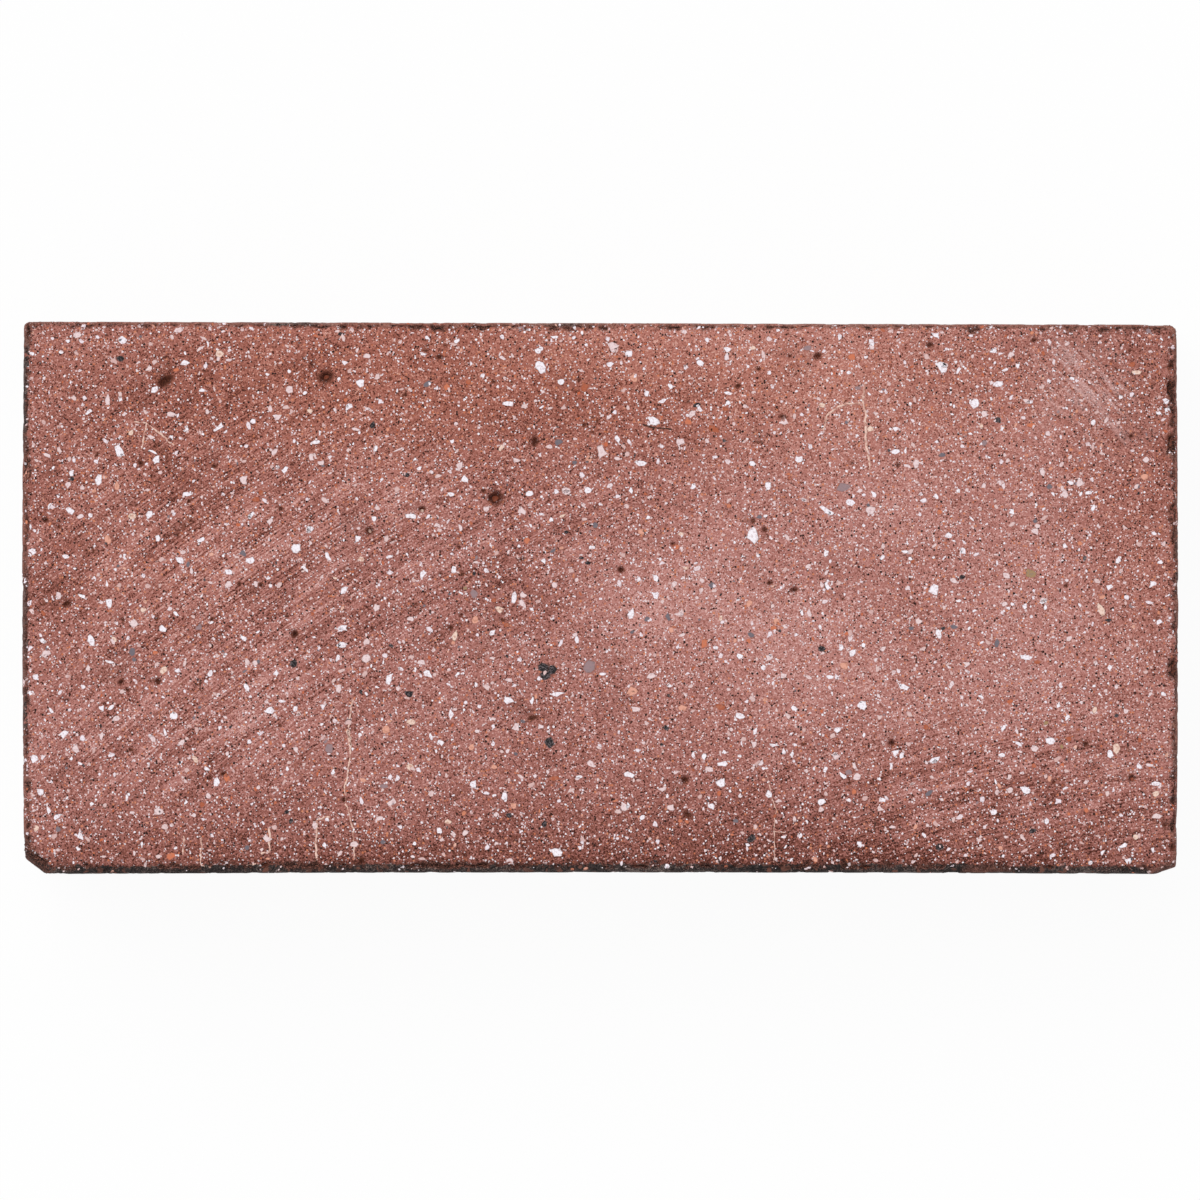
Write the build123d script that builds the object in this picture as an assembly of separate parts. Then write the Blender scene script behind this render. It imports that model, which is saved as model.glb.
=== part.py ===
"""A solid clay paver, fired as one piece, lying on its bed face.

X runs along the paver, Y across it and Z up. The origin is on the bed face, under the middle of the box.
The plan is eight sides in a ring: four long or short sides, slightly out of true as fired clay is, and the
four corners broken or rounded between them. Wear draws every side in towards the wearing face by its own
amount, so the body is lofted through plan outlines taken at several heights.
"""

import math
import os

from build123d import *

# Driving sizes, in millimetres
length = 215.0  # over the swelling ends
width = 102.5  # half way along
thickness = 50.0

# How far the fired plan is out of true
end_bow = 0.35  # each short end swells by this in its middle
front_hollow = 0.30  # the front side is hollow by this in its middle
back_runout = 0.60  # the back side stands out this much more at its left end than at its right

# Rounding of the arrises around the wearing face and the bed face
front_arris = 1.60
left_arris = 0.85
right_arris = 0.50
back_arris = 0.40
bed_arris = 0.80

# Broken corners, each as its size along the long side, along the short end, and its slope:
# how far it leans in at the wearing face, and how deep below that face the slope begins
front_left_break_long = 3.5
front_left_break_end = 2.8
front_left_lean = 1.9
front_left_lean_depth = 12.0
front_right_break_long = 3.6
front_right_break_end = 1.3
front_right_lean = 0.9
front_right_lean_depth = 6.0
back_left_break_long = 0.8
back_left_break_end = 0.6
back_left_lean = 0.8
back_left_lean_depth = 3.0

# The one corner that kept the round of the die
back_right_radius = 1.5

# Bites out of the arris: the side, the distance from the middle of that side, the bite's length and depth.
# Distances run along +X on the front and back, and along +Y on the ends.
arris_bites = [
    ("right", 38.4, 6.2, 1.15),
    ("right", 28.4, 4.6, 1.10),
    ("right", 16.0, 3.4, 0.75),
    ("right", -13.0, 3.0, 0.70),
    ("right", -41.8, 4.0, 1.15),
    ("back", -29.6, 3.2, 0.75),
    ("back", 69.6, 2.8, 0.75),
    ("left", 22.6, 3.4, 0.95),
    ("left", -36.0, 2.6, 0.90),
]

# Outlines nearer a face lie closer together: each is this share as far from it as the one before
level_share = 0.5
top_levels = 8
bed_levels = 3


class Side:
    """One side of the plan, from start to end, anticlockwise, with the wear along its upper arris."""

    def __init__(self, start, end, bow, arris, arris_depth):
        self.start = Vector(*start)
        self.end = Vector(*end)
        self.bow = bow
        self.arris = arris
        self.arris_depth = arris_depth
        self.along = (self.end - self.start).normalized()
        self.outward = Vector(self.along.Y, -self.along.X)

    def drawn_in(self, height):
        """How far wear has drawn this side in at a height: a quarter ellipse at each face."""
        above = height - (thickness - self.arris_depth)
        below = bed_arris - height
        return quarter_ellipse(self.arris, self.arris_depth, above) + quarter_ellipse(bed_arris, bed_arris, below)


def quarter_ellipse(across, deep, climb):
    """The setback of a rounded arris that is `across` wide and `deep` deep, `climb` up from where it starts."""
    share = min(max(climb / deep, 0.0), 1.0)
    return across * (1 - math.sqrt(1 - share * share))


def plan_sides():
    """The eight sides of the plan in order, from the left end round through the front."""
    left = end_bow - length / 2
    right = length / 2 - end_bow
    front = -width / 2
    back_at_left = width / 2 + back_runout / 2
    back_at_right = width / 2 - back_runout / 2
    back_slope = (back_at_right - back_at_left) / (right - left)

    left_top = (left, back_at_left - back_left_break_end)
    left_foot = (left, front + front_left_break_end)
    front_start = (left + front_left_break_long, front)
    front_end = (right - front_right_break_long, front)
    right_foot = (right, front + front_right_break_end)
    right_top = (right, back_at_right - back_right_radius)
    back_start = (right - back_right_radius, back_at_right - back_slope * back_right_radius)
    back_end = (left + back_left_break_long, back_at_left + back_slope * back_left_break_long)
    die_bulge = back_right_radius * (1 - math.cos(math.pi / 4))

    return {
        "left": Side(left_top, left_foot, end_bow, left_arris, left_arris),
        "front_left": Side(left_foot, front_start, 0, front_left_lean, front_left_lean_depth),
        "front": Side(front_start, front_end, -front_hollow, front_arris, front_arris),
        "front_right": Side(front_end, right_foot, 0, front_right_lean, front_right_lean_depth),
        "right": Side(right_foot, right_top, end_bow, right_arris, right_arris),
        "back_right": Side(right_top, back_start, die_bulge, right_arris, right_arris),
        "back": Side(back_start, back_end, 0, back_arris, back_arris),
        "back_left": Side(back_end, left_top, 0, back_left_lean, back_left_lean_depth),
    }


def crossing(one, other, height):
    """The plan point where two neighbouring sides meet, once both are drawn in at that height."""
    p = one.start - one.outward * one.drawn_in(height)
    q = other.start - other.outward * other.drawn_in(height)
    turn = one.along.X * other.along.Y - one.along.Y * other.along.X
    gap = q - p
    reach = (gap.X * other.along.Y - gap.Y * other.along.X) / turn
    return p + one.along * reach


def outline(sides, height):
    """The face enclosed by the paver's plan at one height."""
    ring = list(sides.values())
    corners = [crossing(ring[i - 1], ring[i], height) for i in range(len(ring))]
    edges = []
    for i, side in enumerate(ring):
        start = corners[i]
        end = corners[(i + 1) % len(ring)]
        if side.bow:
            edges.append(ThreePointArc(start, (start + end) / 2 + side.outward * side.bow, end))
        else:
            edges.append(Line(start, end))
    return Pos(0, 0, height) * make_face(edges)


def levels(sides):
    """The heights of the outlines, crowding towards the bed face and the wearing face."""
    deepest = max(side.arris_depth for side in sides.values())
    bed = [0.0] + [bed_arris * level_share**step for step in reversed(range(bed_levels))]
    top = [thickness - deepest * level_share**step for step in range(top_levels)] + [thickness]
    return bed + top


def bite(sides, name, along, bite_length, depth):
    """A ball that takes a shell-shaped bite of that length and depth out of a side's upper arris."""
    side = sides[name]
    radius = (bite_length**2 / 4 + depth**2) / (2 * depth)
    direction = Vector(1, 0) if name in ("front", "back") else Vector(0, 1)
    middle = (side.start + side.end) / 2
    reach = direction * along
    share = 2 * along / (side.end - side.start).length
    edge = middle + side.along * side.along.dot(reach) + side.outward * side.bow * (1 - share * share)
    outward = (side.outward + Vector(0, 0, 1)).normalized()
    centre = edge + Vector(0, 0, thickness) + outward * (radius - depth)
    return Pos(*centre) * Sphere(radius)


def clay_paver():
    """The whole paver, moved so that the origin is under the middle of its box."""
    sides = plan_sides()
    body = loft([outline(sides, height) for height in levels(sides)], ruled=True)
    for spec in arris_bites:
        body -= bite(sides, *spec)
    box = body.bounding_box()
    return Pos(-box.center().X, -box.center().Y, -box.min.Z) * body


os.makedirs("parts", exist_ok=True)
export_step(clay_paver(), "parts/clay_paver.step")
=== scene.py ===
import math
from functools import partial

import bpy
import numpy as np
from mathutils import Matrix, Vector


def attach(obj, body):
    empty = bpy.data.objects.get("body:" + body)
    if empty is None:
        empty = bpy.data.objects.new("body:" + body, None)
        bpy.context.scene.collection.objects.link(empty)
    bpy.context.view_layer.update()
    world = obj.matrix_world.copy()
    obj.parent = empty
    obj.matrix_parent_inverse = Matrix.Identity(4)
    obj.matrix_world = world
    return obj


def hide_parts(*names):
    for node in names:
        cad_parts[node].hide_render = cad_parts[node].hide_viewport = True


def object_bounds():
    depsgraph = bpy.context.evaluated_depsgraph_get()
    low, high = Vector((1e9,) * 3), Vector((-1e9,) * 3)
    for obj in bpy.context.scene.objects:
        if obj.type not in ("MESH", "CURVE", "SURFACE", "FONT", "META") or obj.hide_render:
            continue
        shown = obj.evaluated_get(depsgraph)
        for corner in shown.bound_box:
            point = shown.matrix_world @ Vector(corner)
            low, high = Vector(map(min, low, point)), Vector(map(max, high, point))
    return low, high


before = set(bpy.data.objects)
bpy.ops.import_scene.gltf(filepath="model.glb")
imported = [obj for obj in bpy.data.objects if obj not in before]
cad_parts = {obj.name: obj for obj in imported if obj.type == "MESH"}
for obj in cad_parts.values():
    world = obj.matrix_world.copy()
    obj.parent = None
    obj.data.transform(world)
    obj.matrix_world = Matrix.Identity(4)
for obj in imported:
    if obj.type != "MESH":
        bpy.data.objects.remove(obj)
cadLow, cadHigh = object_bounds()
mm = 0.001
topZ = cadHigh.z
faceArea = (cadHigh.x - cadLow.x) * (cadHigh.y - cadLow.y)
noiseMiddle = 0.5  # noise and cell values lie about this
tiny = 1e-9  # keeps a division from zero

# Where the paver lies in the 1200 x 1200 photograph, which is taken straight down
photo = {"pixels": 1200, "centreX": 600.2, "centreY": 597.8, "mmPerPixel": 0.1858}
pixel = photo["mmPerPixel"] * mm

# Short names for the nodes that come up often
kinds = {
    "math": "ShaderNodeMath", "vector": "ShaderNodeVectorMath", "range": "ShaderNodeMapRange",
    "mix": "ShaderNodeMix", "noise": "ShaderNodeTexNoise", "cells": "ShaderNodeTexVoronoi",
    "ramp": "ShaderNodeValToRGB", "split": "ShaderNodeSeparateXYZ", "vector from": "ShaderNodeCombineXYZ",
    "attribute": "ShaderNodeAttribute", "compare": "FunctionNodeCompare",
    "random": "FunctionNodeRandomValue", "store": "GeometryNodeStoreNamedAttribute",
    "named": "GeometryNodeInputNamedAttribute", "move": "GeometryNodeSetPosition",
    "place": "GeometryNodeInputPosition",
}


def onFace(px, py):  # a pixel of the photograph as a place on the wearing face, in metres
    return (px - photo["centreX"]) * pixel, (photo["centreY"] - py) * pixel


def linear(hexColour):  # an sRGB hex colour as linear RGBA
    parts = [int(hexColour[i:i + 2], 16) / 255 for i in (1, 3, 5)]
    return [c / 12.92 if c <= 0.04045 else ((c + 0.055) / 1.055) ** 2.4 for c in parts] + [1.0]


def addNode(tree, kind, inputs=None, out=0, stops=None, **settings):
    made = tree.nodes.new(kinds.get(kind, kind))
    for name, value in settings.items():
        setattr(made, name, value)
    for key, value in (inputs or {}).items():
        if isinstance(value, bpy.types.NodeSocket):
            tree.links.new(value, made.inputs[key])
        else:
            made.inputs[key].default_value = value
    if stops:
        points = made.color_ramp.elements
        points.remove(points[1])
        for place, (position, colour) in enumerate(stops):
            point = points.new(position) if place else points[0]
            point.position = position
            point.color = linear(colour)
    return made.outputs[out] if made.outputs else made


def newTree(name, inputs):  # a Geometry Nodes tree with named inputs
    tree = bpy.data.node_groups.new(name, "GeometryNodeTree")
    for label, kind in inputs.items():
        tree.interface.new_socket(label, in_out="INPUT", socket_type="NodeSocket" + kind)
    tree.interface.new_socket("Geometry", in_out="OUTPUT", socket_type="NodeSocketGeometry")
    return tree, tree.nodes.new("NodeGroupInput").outputs


def newMaterial(name):
    material = bpy.data.materials.new(name)
    material.use_nodes = True
    material.node_tree.nodes.clear()
    return material, partial(addNode, material.node_tree)


def plainMesh(piece, tree=None, values=None):  # runs a tree, or the piece's modifiers, and returns the mesh
    if tree:
        modifier = piece.modifiers.new(tree.name, "NODES")
        modifier.node_group = tree
        for item in tree.interface.items_tree:
            if item.in_out == "INPUT" and item.name in values:
                modifier[item.identifier] = values[item.name]
    graph = bpy.context.evaluated_depsgraph_get()
    evaluated = piece.evaluated_get(graph)
    made = bpy.data.meshes.new_from_object(evaluated, preserve_all_data_layers=True, depsgraph=graph)
    piece.modifiers.clear()
    return made


def newPiece(name, mesh):
    piece = bpy.data.objects.new(name, mesh)
    bpy.context.scene.collection.objects.link(piece)
    return piece


def finishPiece(piece):
    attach(piece, "root")


def readOff(mesh, label, kind="value", width=1):  # an attribute of a mesh as an array
    data = mesh.attributes[label].data
    values = np.empty(len(data) * width, np.float32)
    data.foreach_get(kind, values)
    return values if width == 1 else values.reshape(-1, width)


def readCounts(items, label):  # a whole number for each of a mesh's faces or corners, as an array
    values = np.empty(len(items), np.int32)
    items.foreach_get(label, values)
    return values


def storeFloats(mesh, label, values):
    mesh.attributes.new(label, "FLOAT", "POINT").data.foreach_set("value", np.asarray(values, np.float32))


def readPoints(name, rows, labels):  # points on the wearing face, from rows of pixel x, pixel y and values
    mesh = bpy.data.meshes.new(name)
    mesh.from_pydata([(*onFace(row[0], row[1]), topZ) for row in rows], [], [])
    for place, label in enumerate(labels):
        storeFloats(mesh, label, [row[2 + place] for row in rows])
    return newPiece(name, mesh)


# Camera, straight above and far off, with the photograph's frame
camera = {"lens": 600.0, "sensor": 36.0}


def makeCamera():
    data = bpy.data.cameras.new("camera")
    data.lens = camera["lens"]
    data.sensor_width = camera["sensor"]
    eye = bpy.data.objects.new("camera", data)
    bpy.context.scene.collection.objects.link(eye)
    frameWidth = photo["pixels"] * pixel
    x, y = onFace(photo["pixels"] / 2, photo["pixels"] / 2)
    eye.location = (x, y, topZ + frameWidth * camera["lens"] / camera["sensor"])
    bpy.context.scene.camera = eye


# Soft studio light: an even white room and one wide lamp, together as bright as the colours are written
light = {"room": 0.55, "lamp": 0.45, "lampWidthDegrees": 50.0, "lampFrom": (-0.45, 0.55, 1.0)}
floor = {"halfWidth": 3.0, "colour": "#f2f2f2", "whiteShare": 0.95}


def seenDirectly(tree):  # 1 where the camera, a mirror or glass shows the background itself
    path = addNode(tree, "ShaderNodeLightPath").node.outputs
    seen = path["Is Camera Ray"]
    for name in ("Is Glossy Ray", "Is Transmission Ray"):
        seen = addNode(tree, "math", {0: seen, 1: path[name]}, operation="MAXIMUM")
    return seen


def makeLight():
    world = bpy.data.worlds.new("whiteRoom")
    bpy.context.scene.world = world
    world.use_nodes = True
    tree = world.node_tree
    tree.nodes.clear()
    strength = addNode(tree, "range", {"Value": seenDirectly(tree), "To Min": light["room"], "To Max": 1.0})
    shine = addNode(tree, "ShaderNodeBackground", {"Strength": strength, "Color": linear("#ffffff")})
    addNode(tree, "ShaderNodeOutputWorld", {"Surface": shine})

    lamp = bpy.data.lights.new("softbox", "SUN")
    lamp.angle = math.radians(light["lampWidthDegrees"])
    x, y, z = light["lampFrom"]
    lamp.energy = light["lamp"] * math.pi * math.sqrt(x * x + y * y + z * z) / z
    holder = bpy.data.objects.new("softbox", lamp)
    holder.rotation_euler = (math.atan2(math.hypot(x, y), z), 0, math.atan2(y, x) + math.pi / 2)
    bpy.context.scene.collection.objects.link(holder)


# A sheet of white paper: white to the camera, apart from the paver's faint shadow
def makeFloor():
    half = floor["halfWidth"]
    mesh = bpy.data.meshes.new("floor")
    corners = [(-half, -half, 0), (half, -half, 0), (half, half, 0), (-half, half, 0)]
    mesh.from_pydata(corners, [], [(0, 1, 2, 3)])
    ground = newPiece("floor", mesh)
    paper, node = newMaterial("white paper sweep")
    seen = seenDirectly(paper.node_tree)
    share = node("math", {0: seen, 1: floor["whiteShare"]}, operation="MULTIPLY")
    matt = node("ShaderNodeBsdfDiffuse", {"Color": linear(floor["colour"])})
    white = node("ShaderNodeEmission", {"Color": linear("#ffffff"), "Strength": 1.0})
    both = node("ShaderNodeMixShader", {0: share, 1: matt, 2: white})
    node("ShaderNodeOutputMaterial", {"Surface": both})
    mesh.materials.append(paper)


# The fired body, with its pits, crumbled arrises and rough burnt sides
paver = {
    "voxel": 0.36 * mm,
    "weld": 0.001 * mm,
    "triangles": 190000,
    "inset": 0.04 * mm,  # room for grains that stand a little proud
    "sideLean": 0.97,  # more upright than this is a side or the round towards it
    "faceLean": 0.98,  # flatter than this is the wearing face or the bed face
    "faceWave": 0.10 * mm,  # slow rise and fall of the worn face
    "faceWaveSpan": 24.0 * mm,
    "crumble": 1.25 * mm,  # how deep the arrises have crumbled
    "crumbleReach": 1.6 * mm,
    "crumbleSpan": 2.6 * mm,
    "lumps": (0.46, 0.68),  # noise from a sound arris to a full lump lost
    "places": (0.35, 0.65),  # noise from the soundest places to the most crumbled
    "placeScale": 0.22,  # scale of that noise, as a share of the lumps' scale
    "leastLost": 0.15,
    "crumbScale": 3.0,  # crumbs are this many times finer than lumps
    "crumbShare": 0.9,
    "hollows": (0.46, 0.80),  # noise from level to a full hollow
    "tear": 0.9 * mm,  # extra roughness where the arris is bitten out
    "brokenFrom": 0.2 * mm,  # clay that has lost this much starts to look broken
    "brokenFully": 0.6 * mm,
    "skinRough": 0.70 * mm,  # hollows in the burnt skin of the sides
    "skinSpan": 4.0 * mm,
    "skinThin": 0.50 * mm,  # the burnt skin ends this far from a side
    "pitDepthShare": 0.8,
    "pitsPerFace": 170,
    "pitSmallest": 0.30 * mm,
    "pitLargest": 0.75 * mm,
    "pitFray": 0.55,
    "pitFraySpan": 0.9 * mm,
    "pitBowl": (0.45, 0.80),  # share of the reach where the floor ends, and where the rim starts
    "seed": 4,
}
# Pits read off the photograph: pixel, length and width in pixels, and turn in degrees
pits = [
    (166, 381, 21, 12, 35), (141, 463, 7, 7, 0), (97, 455, 9, 4, 60), (215, 466, 8, 5, 10),
    (326, 377, 18, 14, 0), (312, 365, 7, 4, 0), (440, 357, 10, 6, 0), (426, 351, 8, 4, 0),
    (405, 395, 6, 5, 0), (494, 382, 5, 5, 0), (584, 425, 6, 5, 0), (579, 380, 7, 4, 30),
    (577, 392, 8, 4, 0), (495, 498, 18, 16, 0), (484, 491, 7, 5, 0), (535, 442, 11, 9, 90),
    (738, 386, 8, 6, 0), (783, 417, 9, 6, 0), (818, 356, 10, 8, 30), (790, 356, 5, 5, 0),
    (759, 369, 6, 5, 0), (759, 442, 12, 4, 0), (852, 463, 6, 4, 0), (898, 465, 7, 6, 90),
    (930, 345, 9, 7, 0), (1130, 350, 5, 4, 0), (1131, 436, 6, 5, 0), (1034, 340, 7, 5, 0),
    (189, 501, 7, 5, 20), (136, 505, 5, 4, 0), (46, 520, 7, 7, 0), (59, 527, 5, 5, 0),
    (191, 521, 6, 5, 0), (177, 535, 6, 5, 0), (67, 604, 11, 7, 20), (123, 620, 6, 5, 0),
    (157, 619, 5, 5, 0), (239, 584, 6, 5, 80), (261, 585, 6, 6, 0), (287, 616, 5, 5, 0),
    (295, 634, 11, 9, 80), (158, 681, 8, 8, 0), (121, 682, 8, 7, 80), (281, 509, 6, 5, 0),
    (212, 619, 7, 5, 30), (128, 690, 6, 5, 0), (370, 531, 10, 9, 0), (422, 509, 9, 8, 0),
    (461, 615, 6, 5, 0), (451, 628, 6, 6, 0), (503, 620, 8, 5, 0), (441, 574, 5, 5, 0),
    (463, 574, 5, 4, 0), (459, 547, 5, 5, 0), (393, 540, 5, 4, 0), (348, 571, 8, 4, 15),
    (522, 559, 10, 4, 25), (765, 530, 8, 6.5, -35), (768, 536, 4, 4, 0), (753, 521, 8, 5, 60),
    (621, 570, 8, 8, 0), (770, 583, 9, 6, 15), (795, 590, 8, 7, 0), (843, 599, 5, 4, 20),
    (673, 544, 6, 5, 0), (1066, 586, 5, 5, 0), (1054, 545, 6, 4, 40), (977, 520, 4, 3, 0),
    (67, 700, 6, 5, 0), (224, 774, 8, 7, 0), (210, 778, 7, 5, 80), (210, 762, 6, 4, 20),
    (131, 750, 7, 5, 0), (280, 726, 6, 4, 0), (266, 865, 8, 7, 0), (344, 800, 7, 6, 80),
    (533, 718, 15, 6, 15), (465, 856, 7, 5, 20), (362, 861, 9, 8, 0), (685, 780, 10, 9, 30),
    (849, 783, 5, 5, 0), (707, 778, 5, 4, 0), (892, 743, 8, 8, 0), (688, 815, 12, 7, -40),
    (762, 751, 6, 3, 0), (803, 744, 6, 4, 0), (1086, 744, 8, 7, 0), (1132, 778, 9, 8, 20),
    (1054, 782, 5, 5, 0), (1165, 825, 8, 5, 90), (632, 702, 7, 4, 0), (868, 773, 6, 3, 30),
    (1171, 388, 22, 9, 90), (1171, 440, 15, 8, 90), (1174, 541, 9, 6, 90), (1175, 668, 14, 6, 90),
    (1173, 737, 5, 5, 0), (1173, 847, 11, 7, 90), (1170, 366, 7, 5, 60), (1175, 508, 8, 5, 90),
    (24, 408, 9, 4, 90), (28, 476, 8, 5, 60), (25, 667, 8, 5, 90), (26, 730, 6, 5, 0),
    (866, 869, 12, 6, 0), (1050, 868, 9, 6, 0), (415, 866, 8, 5, 0), (640, 868, 14, 5, 0),
]
# Slow changes over the face, read one by one: pixel, reach across and down in pixels, and strength
patches = {
    "tone": [
        (230, 395, 230, 85, -0.08), (170, 388, 40, 32, -0.06), (320, 377, 25, 25, -0.05),
        (560, 420, 110, 42, -0.09), (430, 345, 60, 28, -0.05), (50, 590, 38, 40, -0.09),
        (40, 500, 30, 45, -0.05), (530, 580, 50, 55, -0.09), (545, 735, 34, 45, -0.06),
        (1130, 430, 70, 170, -0.10), (1040, 345, 60, 32, -0.06), (45, 560, 45, 140, -0.05),
        (650, 600, 65, 40, 0.16), (800, 640, 80, 55, 0.14), (860, 505, 75, 50, 0.10),
        (830, 395, 60, 50, 0.08), (1000, 480, 150, 120, 0.06), (1040, 615, 70, 70, 0.06),
        (950, 700, 200, 45, 0.06), (240, 560, 50, 34, 0.05), (125, 610, 34, 34, 0.05),
        (375, 470, 60, 40, 0.04), (250, 705, 80, 30, 0.06), (700, 350, 150, 40, 0.04),
        (250, 880, 300, 65, -0.20), (820, 880, 420, 80, -0.28), (950, 560, 260, 220, 0.02),
        (725, 560, 60, 100, 0.07), (720, 340, 230, 30, 0.07), (1000, 660, 130, 60, 0.04),
        (60, 655, 32, 28, 0.05), (200, 455, 40, 30, 0.07), (125, 550, 40, 30, -0.05),
        (350, 605, 40, 30, -0.06), (500, 600, 36, 30, -0.04), (200, 650, 40, 30, -0.05),
        (900, 630, 60, 40, -0.05), (380, 805, 60, 30, 0.06), (930, 805, 60, 30, 0.06),
    ],
    "warm": [
        (330, 375, 330, 100, 0.8), (750, 380, 400, 80, 0.7), (1150, 520, 60, 130, 0.5),
        (130, 560, 160, 120, 0.4),
    ],
    "haze": [
        (1055, 352, 24, 16, 0.5), (1086, 374, 26, 20, 1.0), (1104, 400, 22, 22, 0.7),
        (1122, 428, 16, 24, 0.6), (1058, 400, 14, 40, 0.3),
    ],
    "streak": [
        (250, 600, 260, 150, 1.0), (200, 430, 200, 110, 0.45), (1000, 790, 260, 90, 1.0),
        (560, 520, 160, 70, 0.5), (150, 750, 160, 60, 0.6),
    ],
}
# The kiln's burnt skin. For each side: how strong it is near the wearing face, and how far in the worn
# arris goes
burnt = {
    "sides": {
        "front": (1.25, 1.7 * mm), "left": (0.55, 1.0 * mm),
        "right": (0.20, 0.6 * mm), "back": (0.12, 0.5 * mm),
    },
    "depth": 9.0 * mm,
    "below": 0.45,  # share of the burning that is left lower down
    "blend": 2.0 * mm,  # two sides blend over about this near a corner
    "soundDepth": 14.0 * mm,  # the sides are unworn at this depth
    "soundBand": 0.5 * mm,
    "sideBand": 1.0 * mm,
}
faceDepth = 3.0 * mm  # the wearing face, with its bites, lies within this of the top
# A bite shows where the clay is missing further in than the worn round
bites = {"from": 0.12 * mm, "soft": 0.2 * mm}
# The corner that is broken off: its two sides, how far in it goes along both together, and how deep
brokenCorner = {"sides": ("front", "left"), "reach": 5.2 * mm, "soft": 0.9 * mm, "depth": 11.0 * mm}


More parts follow.
